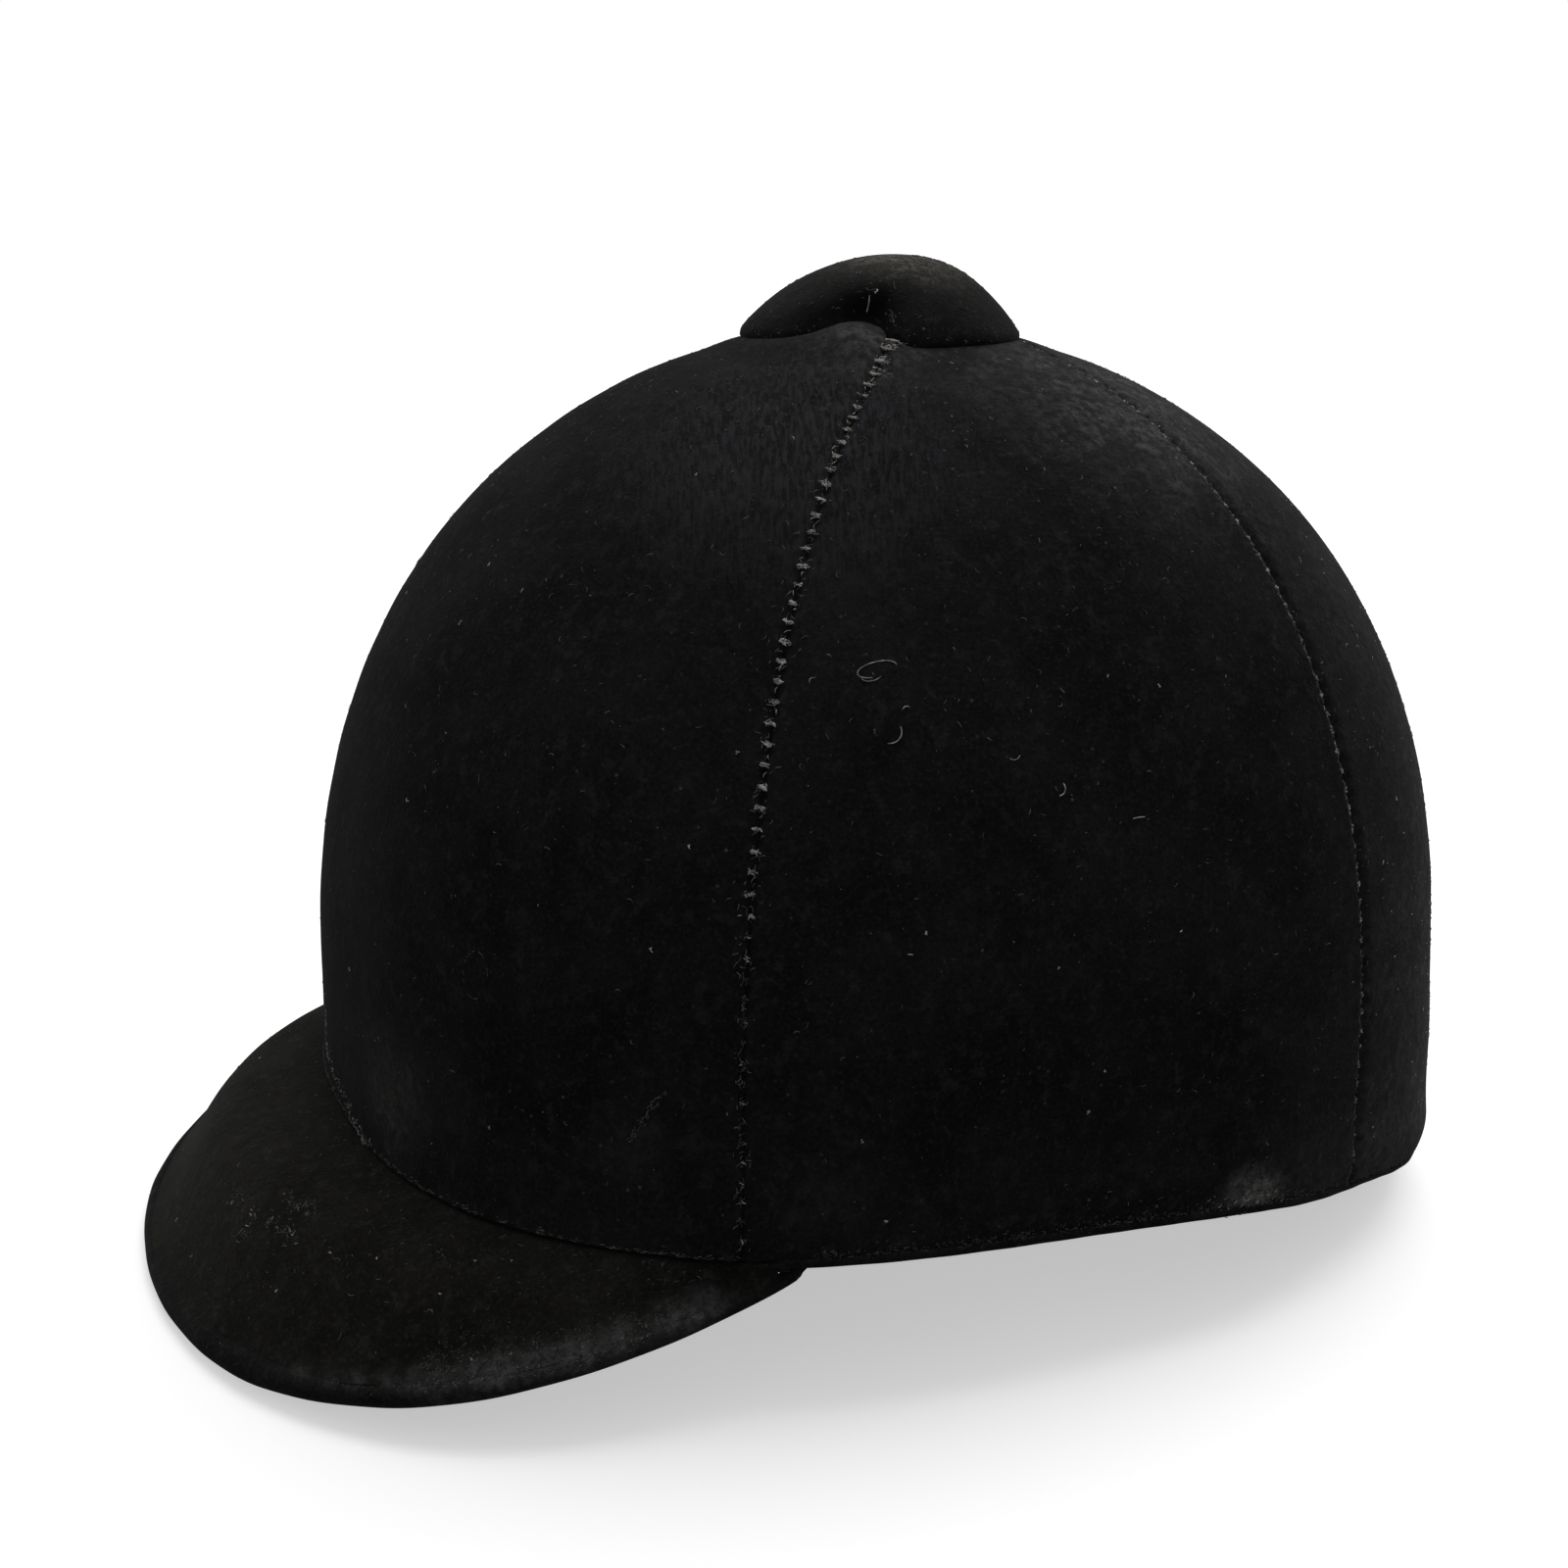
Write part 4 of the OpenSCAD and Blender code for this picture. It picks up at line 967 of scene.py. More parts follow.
def visor_point(a, s, up):
    """A point of the visor's sheets: s runs from 0 at the root to 1 at the edge, up is its height."""
    a, s, up = np.broadcast_arrays(np.asarray(a, float), np.asarray(s, float), np.asarray(up, float))
    r = rim_point(SEAT_TURN * a / 90, 2.0, -1.3 - STACK / 2 * roll_radius(a) / ROLL)
    e = edge_point(a)
    climb = (r[..., 2] - e[..., 2]) / np.linalg.norm(e[..., :2] - r[..., :2], axis=-1)
    back = UP * climb[..., None] - edge_frame(a)[1]
    e = e + back * (roll_radius(a) / FLAT + 0.6)[..., None]
    p = r + (e - r) * s[..., None]
    p[..., 2] += (CAMBER * np.cos(np.radians(a)) * 4 * s * (1 - s) * (1 - LEAN * (1 - 2 * s))
                  + up * roll_radius(a) / ROLL)
    return p


# Pale places along the crest of the visor's edge, brighter and broader at the near end
NEAR_CREST, FAR_CREST = (58, 62, 66, 70, 74, 78, 82, 85), (40, 44, 48, 52, 55)
CREST = ([(edge_point(a) + UP * 2, 6.6, 0.75, (0.078, 0.078, 0.079)) for a in NEAR_CREST]
         + [(edge_point(a) + UP * 2.5, 4.2, 0.45, (0.06, 0.06, 0.06)) for a in FAR_CREST])
VISOR_PLACES = [
    ((-140, 20, 30), 45, 0.3, (0.03, 0.029, 0.026)),
    ((-152, -24, 24), 14, 0.25, (0.05, 0.048, 0.043))]
M_VISOR = velvet("velvet_visor", (0.0098, 0.0096, 0.0086), 0.035, dust=0.6, patches=VISOR_PLACES + CREST)
M_ROLL = velvet("velvet_rolled_edge", (0.0092, 0.0093, 0.0098), 0.035, dust=1.3, patches=CREST)

# Nap creases on the visor: from, to, depth, half width
CREASES = [((-149.6, -1.1), (-140.7, 1.0), 0.42, 1.0), ((-160.5, 11.4), (-154.7, 1.1), 0.3, 1.1),
           ((-153.5, 4.5), (-149.6, -1.1), 0.2, 1.2)]


def pressed(h, base):
    """Heights h with the nap creases pressed in and a low swell beside each."""
    for (x0, y0), (x1, y1), deep, wide in CREASES:
        d = np.array([x1 - x0, y1 - y0])
        q = np.stack([base[..., 0] - x0, base[..., 1] - y0], -1)
        t = np.clip((q @ d) / (d @ d), 0, 1)
        off = np.linalg.norm(q - t[..., None] * d, axis=-1)
        h = h - deep * hump(off, 0, wide) + 0.5 * deep * hump(off, 1.9 * wide, 1.3 * wide)
    return h


def visor_top(a, s):
    """The velvet's upper surface; it swells up to the panels at the root and runs out over the roll."""
    a, s = np.broadcast_arrays(np.asarray(a, float), np.asarray(s, float))
    base = visor_point(a, s, 3.0)
    root, tip = visor_point(a, 0 * s, 3.0), visor_point(a, 0 * s + 1, 3.0)
    length = np.linalg.norm(tip - root, axis=-1)
    near, away = s * length, (1 - s) * length
    direction = SEAT_TURN * a / 90
    lift = (lower_lift(direction) + 0.55) * smooth(0.5, 6, length)
    wave = 0.16 * waviness(base * 1.3) * smooth(2, 8, away) * smooth(2, 8, near)
    h = pressed(lift * (1 - smooth(0, 17, near)) + wave, base)
    p = base + UP * h[..., None]
    # out from the sheet's own root line towards depth 1.5 of the wall
    pull = rim_point(direction, 1.5, 0.0)[..., :2] - rim_point(direction, 2.0, 0.0)[..., :2]
    p[..., :2] += pull * (1 - smooth(0, 6, near))[..., None]
    # the last stretch runs out on the roll
    way, out, n = edge_frame(a)
    r = roll_radius(a)[..., None]
    crest = edge_point(a) + r * (out * math.sin(math.radians(30)) + n * math.cos(math.radians(30)))
    reach = np.minimum(6.0 + 9.0 * smooth(8, 40, -a), 0.5 * length)
    s1 = 1 - reach / length
    start = visor_point(a, s1, 3.0) + UP * (lift * (1 - smooth(0, 17, s1 * length)))[..., None]
    slope = visor_point(a, s1 + 0.01, 3.0) - visor_point(a, s1 - 0.01, 3.0)
    span = np.linalg.norm(crest - start, axis=-1)[..., None]
    m0, m1 = unit(slope) * span, unit(out - 0.8 * n) * span
    t = np.clip((s - s1) / (1 - s1), 0, 1)[..., None]
    run = ((2 * t ** 3 - 3 * t ** 2 + 1) * start + (t ** 3 - 2 * t ** 2 + t) * m0
           + (3 * t ** 2 - 2 * t ** 3) * crest + (t ** 3 - t ** 2) * m1)
    run[..., 2] += wave
    return np.where(s[..., None] > s1[..., None], run, p)


def ends_close(count):
    """Places from -1 to 1, ever closer together towards both ends."""
    t = np.linspace(-1, 1, count)
    return np.sign(t) * (1 - (1 - np.abs(t)) ** 1.5)


def visor_sheets():
    a = (89.6 * ends_close(241))[:, None]
    s = np.concatenate([np.linspace(0, 0.88, 60)[:-1], np.linspace(0.88, 1, 22)])[None, :]
    dist = np.linalg.norm(visor_point(a, s, 0.0) - visor_point(a, 0 * s, 0.0), axis=-1)
    uv = np.stack([np.radians(a + 0 * s) * 0.1, dist / 1000], -1)
    v, f = slab(visor_top(a, s), visor_point(a, s, 1.6))
    o = make("visor_velvet", v, f, M_VISOR, slot="visor_velvet", uv=uv)
    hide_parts("visor_top_velvet")
    # the cloth below closes up to the roll
    end = smooth(0.9, 1.0, s)[..., None] * (roll_radius(a) / ROLL)[..., None]
    out = edge_frame(a + 0 * s)[1]
    low = visor_point(a, s, -3.0) + (out * 2.0 - UP * 0.3) * end
    high = visor_point(a, s, -1.8) + out * 1.6 * end
    v, f = slab(low, high)
    o = make("visor_lining", v, f, M_UNDER, slot="underlay_cloth", uv=uv)
    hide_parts("visor_underlay")


visor_sheets()


def visor_roll():
    sides = 28
    a = 90 * ends_close(460)
    p = edge_point(a)
    r = roll_radius(a)
    # both ends run on a little under the rim and close there
    d = np.linspace(0, 1.2, 14)[1:]
    k = d / d[-1]
    tail_r = r[-1] * (1 - 0.86 * k ** 0.9)
    under = -1.3 - tail_r / FLAT + 0.5 * smooth(0, 0.6, k)
    tail = rim_point(SEAT_TURN + d, 3.0 - 1.5 * smooth(0, 0.5, k), under)
    p = np.concatenate([(tail * np.array([1, -1, 1]))[::-1], p, tail])
    r = np.concatenate([tail_r[::-1], r, tail_r])
    way = unit(np.gradient(p, axis=0))
    o = unit(np.cross(way, UP))
    n = np.cross(o, way)
    s = running_length(p)
    w = np.arange(sides) * 2 * np.pi / sides
    plump = np.concatenate([0 * tail_r, 0.55 * hump(np.abs(a), 27, 14), 0 * tail_r])
    r = (r + plump)[:, None] * (1 + 0.02 * np.sin(s / 7.0 + 1.0) + 0.015 * np.sin(s / 2.9))[:, None]
    # the velvet is flattened below where the cloth meets it
    r = r * (1 - 0.05 * hump(w, 4.71, 0.5)[None, :])
    ring = (p[:, None] + o[:, None] * (np.cos(w)[None, :] * r)[..., None]
            + n[:, None] * (np.sin(w)[None, :] * r)[..., None])
    piece = make("visor_rolled_edge", ring, tube_faces(len(p), sides), M_ROLL, slot="visor_velvet")
    clean(piece)
    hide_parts("visor_piping")


visor_roll()


FAR_BELOW = (0, 0, -1e6)


def lay(bag, p, u, v, half, bend, thick, turn, high=0.15, inner=FAR_BELOW):
    """Hairs on a surface: points and two directions in it; the normals point away from inner."""
    half, bend, thick, turn = drawn(len(p), half, bend, thick, turn)
    u, v = unit(u), unit(v)
    n = unit(np.cross(u, v))
    n = np.where(((p - inner) * n).sum(1, keepdims=True) > 0, n, -n)
    bag.hairs(p, n, unit(turned(u, v, turn)), half, bend, thick, high)


# Places on the visor: along its edge in degrees, and share of the way from root to edge
BLOTS = np.array([(10.2, .73), (20.3, .57), (16.2, .80), (16.2, .73), (24.4, .70), (20.3, .70), (22.3, .57)])
VISOR_SPECKS = ((-3.4, .93), (7.4, .93), (33.8, .67), (40.6, .60), (52.1, .40), (56.2, .33), (29.1, .87),
                (62.3, .93), (52.8, .70), (-8.1, .13), (-30, .5), (-55, .6))


def visor_fibres():
    """Dust and lint on the visor: a patch on the near side, specks, and a pale line along its crest."""
    lint, dust = Bag(), Bag()

    def place(bag, a, s, *sizes):
        lay(bag, visor_top(a, s), visor_top(a + 0.4, s) - visor_top(a - 0.4, s),
            visor_top(a, s + 0.006) - visor_top(a, s - 0.006), *sizes)
    k = 420
    half = 0.15 + 0.8 * nrng.random(k) ** 2.4
    place(dust, nrng.uniform(-82, 82, k), nrng.uniform(0.04, 0.93, k), half,
          half * nrng.uniform(-0.7, 0.7, k), even(0.04, 0.08), even(0, 3.1))
    for bag, k in ((dust, 130), (lint, 15)):
        at = BLOTS[nrng.integers(0, len(BLOTS), k)]
        place(bag, at[:, 0] + nrng.normal(0, 1.2, k), at[:, 1] + nrng.normal(0, 0.022, k),
              even(0.25, 0.9), even(-0.3, 0.3), even(0.04, 0.085), bell(0.3, 0.8))
    at = np.repeat(np.array(VISOR_SPECKS), 3, 0)
    place(lint, at[:, 0] + nrng.normal(0, 0.1, len(at)), at[:, 1] + nrng.normal(0, 0.002, len(at)),
          even(0.15, 0.35), 0.05, 0.085, even(0, 3.1))
    # the crest of the rolled edge, a broad pale band at the near end
    for bag, k, wide in ((dust, 2400, 24), (lint, 130, 14)):
        a = np.where(nrng.random(k) < 0.7, 85 - 31 * nrng.random(k) ** 1.1, nrng.uniform(-85, 56, k))
        way, out, n = edge_frame(a)
        turn = np.radians(nrng.normal(0, wide, k))[:, None]
        up = n * np.cos(turn) + out * np.sin(turn)
        w = unit(way + (out * np.cos(turn) - n * np.sin(turn)) * nrng.normal(0, 0.5, k)[:, None])
        low = np.where(turn < 0, 0.15, 0.02)
        sizes = drawn(k, even(0.1, 0.42), even(-0.12, 0.12), even(0.035, 0.065))
        bag.hairs(edge_point(a) + up * (roll_radius(a)[:, None] + low), up, w, *sizes, 0.1)
    # more of it on the velvet beside the crest
    for bag, k in ((dust, 700), (lint, 14)):
        a = 83 - 27 * nrng.random(k)
        place(bag, a, 1 - np.abs(nrng.normal(0, 0.06, k)) * 60 / (90 - a + 30),
              even(0.1, 0.4), even(-0.12, 0.12), even(0.035, 0.06), even(0, 3.1))
    lint.make("visor_lint", M_LINT, slot="visor_velvet")
    dust.make("visor_dust", M_DUST, slot="visor_velvet")


visor_fibres()


# Binding folded round the rim; over the visor its outer leg is hidden by the velvet

def binding_profile():
    """Depth and lift, round from the outer leg's top, down, under and up the inner leg."""
    half = np.pi / 2
    pr = [(0.55 + 0.75 * math.cos(t), 0.55 + 0.45 * math.sin(t)) for t in np.linspace(0, np.pi, 9)]
    pr += [(-0.2 - 0.05 * math.sin(t * math.pi), 0.55 - 0.6 * t) for t in np.linspace(0, 1, 4)[1:]]
    pr += [(0.75 - 0.95 * math.cos(t), -0.05 - 0.95 * math.sin(t)) for t in np.linspace(0, half, 8)[1:]]
    pr += [(0.75 + 4.3 * t, -1.0 - 0.05 * math.sin(t * math.pi)) for t in np.linspace(0, 1, 6)[1:]]
    pr += [(5.05 + 1.05 * math.sin(t), 0.05 - 1.05 * math.cos(t)) for t in np.linspace(0, half, 6)[1:]]
    pr += [(6.1, 0.05 + 2.5 * t) for t in np.linspace(0, 1, 5)[1:]]
    pr += [(5.6 + 0.5 * math.cos(t), 2.55 + 0.45 * math.sin(t)) for t in np.linspace(0, np.pi, 6)[1:]]
    return np.array(pr + [(5.1, 1.2), (5.05, 0.1), (4.6, -0.02), (2.0, -0.02), (1.42, 0.05), (1.3, 0.3)])


def binding():
    di = around(480)
    side = smooth(SEAT_TURN - 2.6, SEAT_TURN - 0.6, np.abs(turn_from(di)))[:, None]
    depth, lift = binding_profile().T[:, None]
    front_depth = 1.95 + (depth + 0.25) * 0.6535
    front_lift = np.where(depth < 4.5, -1 + (lift + 1) * 0.45, lift)
    ripple = 0.05 * np.sin(np.radians(di) * 61)[:, None] * (depth < 1.2) * side
    at_depth = front_depth + (depth - front_depth) * side - ripple
    at_lift = front_lift + (lift - front_lift) * side + 0.25 * side
    v = rim_point(di[:, None] + 0 * at_depth, at_depth, at_lift).reshape(-1, 3)
    f = outward(v, np.array(tube_faces(len(di), depth.shape[1], closed=True)))
    piece = make("rim_binding_velvet", v, f, M_HEM, slot="binding", wall=True)
    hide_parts("rim_binding")


binding()

# Button: its velvet follows the crown round its lower edge, with a soft dent beside the crown's swelling

BASE, BUTTON_R, BUTTON_H = 194.25, 31.2, 17.6
TOP = BASE + BUTTON_H
# How far the button's top leans to the rear and to the left, and where the cover and the core lie in depth
SKEW, SKEW_X, SKEW_Y = 2.9, 0.92, -0.39
COVER_IN, CORE_OUT, CORE_FOOT = 1.15, 1.35, BASE + 1.5
# Radius at which the button's edge meets the crown, and the middle direction of its dent
FOOT_R, DENT_DIR = 29.8, 60


def crown_level(x, y, d=0.0):
    """Points of the crown at depth d above places x and y."""
    return np.stack([x, y, WIDE + (RISE - d) * (1 - plan(x, y, d) ** CROWN) ** (1 / CROWN)], -1)


def crown_at(x, y):
    """Height of the velvet's surface on the crown."""
    p = crown_level(x, y)
    return p[..., 2] + crown_bulge(p)


def button_foot(direction):
    """Height of the button's lower edge: just over the crown, and raised a little on the left."""
    k = np.radians(direction)
    ground = crown_at(-FOOT_R * np.cos(k), -FOOT_R * np.sin(k))
    return ground + 0.12 + 0.9 * hump(turn_from(direction, 104), 0, 14)


def button_form(direction, share, t):
    """Point of the button's skin at depth t; share runs from 0 at the lower edge to 1 at the top."""
    foot = button_foot(direction)
    z = foot + (TOP - foot) * share
    u = np.clip((z - BASE) / BUTTON_H, 0, 1)
    r = (BUTTON_R - t) * (1 - u ** 1.18) ** (1 / 2.15)
    r = r - 0.6 * fade(z - foot, 1.8) ** 2 * (share < 0.9)
    # dent: deep at its steep right side, fading to the left and up
    d = turn_from(direction, DENT_DIR)
    across = np.where(d > 0, np.exp(-(d / 8.5) ** 6), hump(d, 0, 17.0))
    dent = 3.4 * across * hump(z - BASE, 5.8, 4.3)
    swell = 0.8 * hump(d, 17, 8) * hump(z - BASE, 4.5, 4.0)
    r = np.maximum(r - dent + swell, 0)
    k = np.radians(direction)
    wave = 0.16 * np.sin(3.1 * k + z * 0.33) + 0.1 * np.sin(5.3 * k - z * 0.6)
    r = r + wave * smooth(0.02, 0.15, share) * smooth(0.0, 8.0, r)
    skew = SKEW * u ** 2.2
    z = z + t - 2 * t * u
    return np.stack([-r * np.cos(k) + SKEW_X * skew, -r * np.sin(k) + SKEW_Y * skew, z + 0 * r], -1)


def closed_top(n, m, peak, start=0, flip=False):
    """Triangles from the last row of a round grid to its peak."""
    rim = [(start + i * m + m - 1, start + (i + 1) % n * m + m - 1, peak) for i in range(n)]
    return [(b, a, c) for a, b, c in rim] if flip else rim


def button_piece():
    di = around(260)[:, None]
    sh = 1 - (1 - np.linspace(0, 1, 76)) ** 1.5
    sh = np.concatenate([[0, .004, .01, .018], sh[2:-1], [0.9995]])[None, :]
    outer, inner = button_form(di, sh, 0.0), button_form(di, sh, COVER_IN)
    peak = np.array([SKEW_X * SKEW, SKEW_Y * SKEW, TOP])
    low = outer[:, 0]

    def ring(dr, lift):
        q = low[:, :2] * (1 + dr / np.linalg.norm(low[:, :2], axis=1))[:, None]
        return np.concatenate([q, (crown_at(q[:, 0], q[:, 1]) + lift)[:, None]], 1)
    # turned-in edge: rings carrying on under the rim over the crown, and back along the inside
    under = [ring(-6.2, 0.2), ring(-4.5, 0.12), ring(-1.9, 0.1), ring(-1.0, 0.08), ring(-0.4, 0.08)]
    back = [ring(-6.3, 0.9), ring(-4.5, 0.95), ring(-2.6, 1.1)]
    grid_out = np.concatenate([np.stack(under, 1), outer], 1)
    grid_in = np.concatenate([np.stack([back[0], back[0], back[1], back[1], back[2]], 1), inner], 1)
    # both grids close at the crown with one point each
    n, m = grid_out.shape[:2]
    half = n * m
    v = np.concatenate([grid_out.reshape(-1, 3), grid_in.reshape(-1, 3), [peak, peak - [0, 0, COVER_IN]]])
    a = grid_faces(n, m, True)
    f = [tuple(q) for q in a] + [tuple(q[::-1] + half) for q in a]
    f += [(i * m, half + i * m, half + (i + 1) % n * m, (i + 1) % n * m) for i in range(n)]
    f += closed_top(n, m, 2 * half) + closed_top(n, m, 2 * half + 1, half, True)
    o = make("button_cover", v, f, M_BUTTON, slot="button_velvet")
    clean(o)
    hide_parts("button_velvet")
    # core just inside the cover
    core = button_form(di, sh, CORE_OUT)
    foot = core[:, 0] * [0.72, 0.72, 1]
    foot[:, 2] = np.maximum(core[:, 0, 2], CORE_FOOT)
    grid = np.concatenate([foot[:, None], core], 1)
    n, m = grid.shape[:2]
    v = np.concatenate([grid.reshape(-1, 3), [peak - [0, 0, 1.4]], [[0, 0, CORE_FOOT]]])
    f = [tuple(q) for q in grid_faces(n, m, True)] + closed_top(n, m, n * m)
    f += [((i + 1) % n * m, i * m, n * m + 1) for i in range(n)]
    o = make("button_core_form", v, f, M_MOULD, slot="moulded_plastic")
    clean(o)
    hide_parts("button_core")


button_piece()


def button_fibres():
    lint, dust = Bag(), Bag()

    def place(bag, d, z, *sizes, high=0.15):
        d, z = (np.atleast_1d(np.asarray(q, float)) for q in (d, z))
        foot = button_foot(d)
        s = np.clip((z - foot) / (TOP - foot), 0.01, 0.98)
        lay(bag, button_form(d, s, 0.0), button_form(d + 0.5, s, 0.0) - button_form(d - 0.5, s, 0.0),
            button_form(d, s + 0.008, 0.0) - button_form(d, s - 0.008, 0.0), *sizes, high=high,
            inner=(0, 0, BASE))
    place(dust, nrng.uniform(0, 360, 260), BASE + BUTTON_H * nrng.random(260) ** 0.6,
          even(0.15, 0.7), even(-0.25, 0.25), even(0.045, 0.08), even(0, 3.1))
    # a straight hair, a speck and a smudge beside the dent
    place(lint, 57.5, 202.2, 2.3, 0.2, 0.11, 1.57, high=0.2)
    place(lint, 60.5 + nrng.normal(0, 0.5, 4), 205 + nrng.normal(0, 0.2, 4), 0.35, 0.1, 0.11, even(0, 3.1))
    place(dust, 69 + nrng.normal(0, 1.3, 16), 200 + nrng.normal(0, 0.7, 16), even(0.25, 0.6), 0.15, 0.08,
          bell(1.2, 0.6))
    # crushed nap on the top's right side, and dust caught along the foot
    place(dust, nrng.uniform(60, 200, 130), TOP - np.abs(nrng.normal(0, 2.0, 130)) - 0.2,
          even(0.3, 1.1), even(-0.2, 0.2), even(0.045, 0.08), bell(1.3, 0.5))
    place(dust, nrng.uniform(0, 360, 160), BASE + 2.4 + nrng.normal(0, 1.2, 160), even(0.15, 0.5), 0.1, 0.06,
          even(0, 3.1))
    lint.make("button_lint", M_LINT, slot="button_velvet")
    dust.make("button_dust", M_DUST, slot="button_velvet")


button_fibres()

# Hard shell, impact liner and sweatband

FULL = around(240)


def layer(d, lift, hole, rows):
    """Rows of a dome layer at depth d, from a lift above the rim up to a hole about the axis."""
    lo = wall_rise(FULL, lift, d)
    ri = lo[:, None] + (hole_rise(FULL, d, hole) - lo)[:, None] * rows[None, :]
    return skin(FULL[:, None] + 0 * ri, ri, d)


def hard_shell():
    d_out, d_in, lift, hole = 1.8, 4.8, 0.3, 16.0
    rows = np.linspace(0, 1, 70)
    v, f = slab(layer(d_out, lift, hole, rows), layer(d_in, lift, hole, rows), True)
    o = make("hard_shell_form", v, f, M_SHELL, slot="shell_plastic", wall=True)
    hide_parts("hard_shell")


def impact_liner():
    """The foam liner; its lower edge is rounded over."""
    d_out, d_in, lift, hole, edge = 5.4, 20.4, 14.0, 18.0, 2.5
    grids = []
    for d, side in ((d_out, 1), (d_in, -1)):
        wall = layer(d, lift + edge, hole + 0.01, np.linspace(0, 1, 64))
        curve = []
        for k in np.linspace(0, np.pi / 2, 6)[:-1]:
            depth = d + side * edge * (1 - math.sin(k))
            curve.append(layer(depth, lift + edge * (1 - math.cos(k)), hole, np.zeros(1))[:, 0])
        grids.append(np.concatenate([np.stack(curve, 1), wall], 1))
    v, f = slab(*grids, True)
    o = make("impact_liner_form", v, f, M_FOAM, slot="liner_foam")
    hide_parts("impact_liner")


def sweat_band():
    """Leather band, puffed between two rows of stitches, with a thin rim at its upper and lower edge."""
    low, width, d_out, d_in, d_rim = 14.5, 23.0, 20.75, 22.1, 21.9
    x = np.linspace(0, 1, 30)[None, :]
    puff = 0.55 * np.sin(np.pi * x) ** 0.6
    wave = 0.18 * np.sin(np.radians(FULL) * 23)[:, None] * np.sin(np.pi * x)
    groove = 0.35 * hump(x, 0.1, 0.045) + 0.35 * hump(x, 0.9, 0.045)
    depth = np.where(np.abs(x - 0.5) > 0.48, d_rim, d_in + puff + wave - groove)
    around, lift = FULL[:, None] + 0 * depth, low + width * x + 0 * depth
    v, f = slab(rim_point(around, d_out, lift), rim_point(around, depth, lift), True)
    o = make("sweatband_leather", v, f, M_LEATHER, slot="sweatband_leather")
    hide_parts("sweatband")
    bag = Bag()
    for lift in (low + 2.3, low + 20.7):
        p = rim_point(FULL, 22.45, lift)
        s = running_length(np.concatenate([p, p[:1]]))
        for at in np.arange(0.5, s[-1] - 2, 3.6):
            q = [np.interp(at + k, s, np.append(FULL, 360)) for k in (0, 0.8, 1.6, 2.4)]
            path = rim_point(np.array(q), np.array([22.2, 22.62, 22.62, 22.2]), lift)
            bag.tube(path, 0.24, 5, (0, 0, 1), 1.0)
    bag.make("sweatband_stitches", M_THREAD, slot="sweatband_leather")


hard_shell()
impact_liner()
sweat_band()

# Comfort pads: sewn fabric pads, puffed by cloth simulation between their borders and channels

# Depth of the pads' backs and of their fronts at the seams, and how far the fronts bulge
PAD_BACK, PAD_FRONT, PAD_EDGE, PAD_BULGE = 21.35, 21.45, 1.1, 1.7


def pad_mesh(name, node, front, back, held, ring=False, body="cap"):
    """front and back are grids; held gives the share of each front point that the sewing holds."""
    v, f = slab(front, back, ring)
    o = make(name, v, f, M_LINING, slot="lining_cloth", body=body)
    g = o.vertex_groups.new(name="held")
    for i, w in enumerate(np.concatenate([held.ravel(), np.ones(held.size)])):
        if w > 0.01:
            g.add([i], float(w), "REPLACE")
    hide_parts(node)
    return o


def pad_rise(edge, width, channel):
    """Thickness before the cloth is puffed: low at the border and in the channels."""
    return PAD_EDGE + PAD_BULGE * (1 - np.maximum(fade(edge, width) ** 0.5, 0.85 * channel))


def comfort_pad(name, node, direction):
    span, middle, half_height = 44.0, 59.5, 20.6
    u, w = np.linspace(-1, 1, 62)[:, None], np.linspace(-1, 1, 46)[None, :]
    # rounded outline: a squircle drawn on the pad's plan
    q = (np.abs(u) ** 6 + np.abs(w) ** 6) ** (1 / 6)
    m = np.maximum(np.abs(u), np.abs(w))
    k = np.where(m > 1e-6, m / np.maximum(q, 1e-6), 1)
    di, lift = direction + u * k * span / 2 * 0.985, middle + w * k * half_height
    channel = hump(np.abs(u * k), 0.36, 0.035)
    held = np.maximum(fade(1 - m, 0.085), np.clip(channel * 1.2, 0, 1))
    front = rim_point(di, PAD_FRONT + pad_rise(1 - m, 0.16, channel), lift)
    return pad_mesh(name, node, front, rim_point(di, PAD_BACK + 0 * lift, lift), held)


def crown_pad():
    """A ring in the crown, sewn down along six spokes."""
    k = np.radians(around(120)[:, None])
    x = np.linspace(0, 1, 34)[None, :]
    lobes = 45.6 - 1.2 * np.cos(k * 6) ** 2
    r = lobes + (10.4 - lobes) * x
    edge = np.minimum(x, 1 - x)
    spokes = hump(np.abs(np.sin(k * 3)) * r / 3.0, 0, 1.1) * smooth(0.1, 0.2, edge)
    held = np.maximum(fade(edge, 0.07), np.clip(spokes * 1.2, 0, 1)) + 0 * r

    def level(d):
        return crown_level(r * np.cos(k), r * np.sin(k), d) * [-1, -1, 1]
    return pad_mesh("crown_pad_fabric", "crown_pad", level(PAD_FRONT + pad_rise(edge, 0.12, spokes)),
                    level(PAD_BACK + 0 * r), held, ring=True)


PADS = [comfort_pad("brow_pad_fabric", "brow_pad", 0), comfort_pad("nape_pad_fabric", "nape_pad", 180),
        comfort_pad("left_side_pad_fabric", "left_side_pad", 86),
        comfort_pad("right_side_pad_fabric", "right_side_pad", -86), crown_pad()]

# Harness, drawn in the strap's own plane and tipped back as it is stored

STRAP_Y, PIVOT_Z, TUCK, WEB_W, WEB_T = 80.0, 35.2, math.radians(8), 18.0, 1.6
# The straight runs lean inward by LEAN_IN degrees; the curve over them is an arc about ARC_Z
LEAN_IN, RUN, TAB_LOW, TAB_HIGH = 15, 32.0, 6.0, 7.0
ARC_R, ARC_Z = 74.248, 18.693
BUCKLE_FROM, BUCKLE_TO = 33.0, 65.06


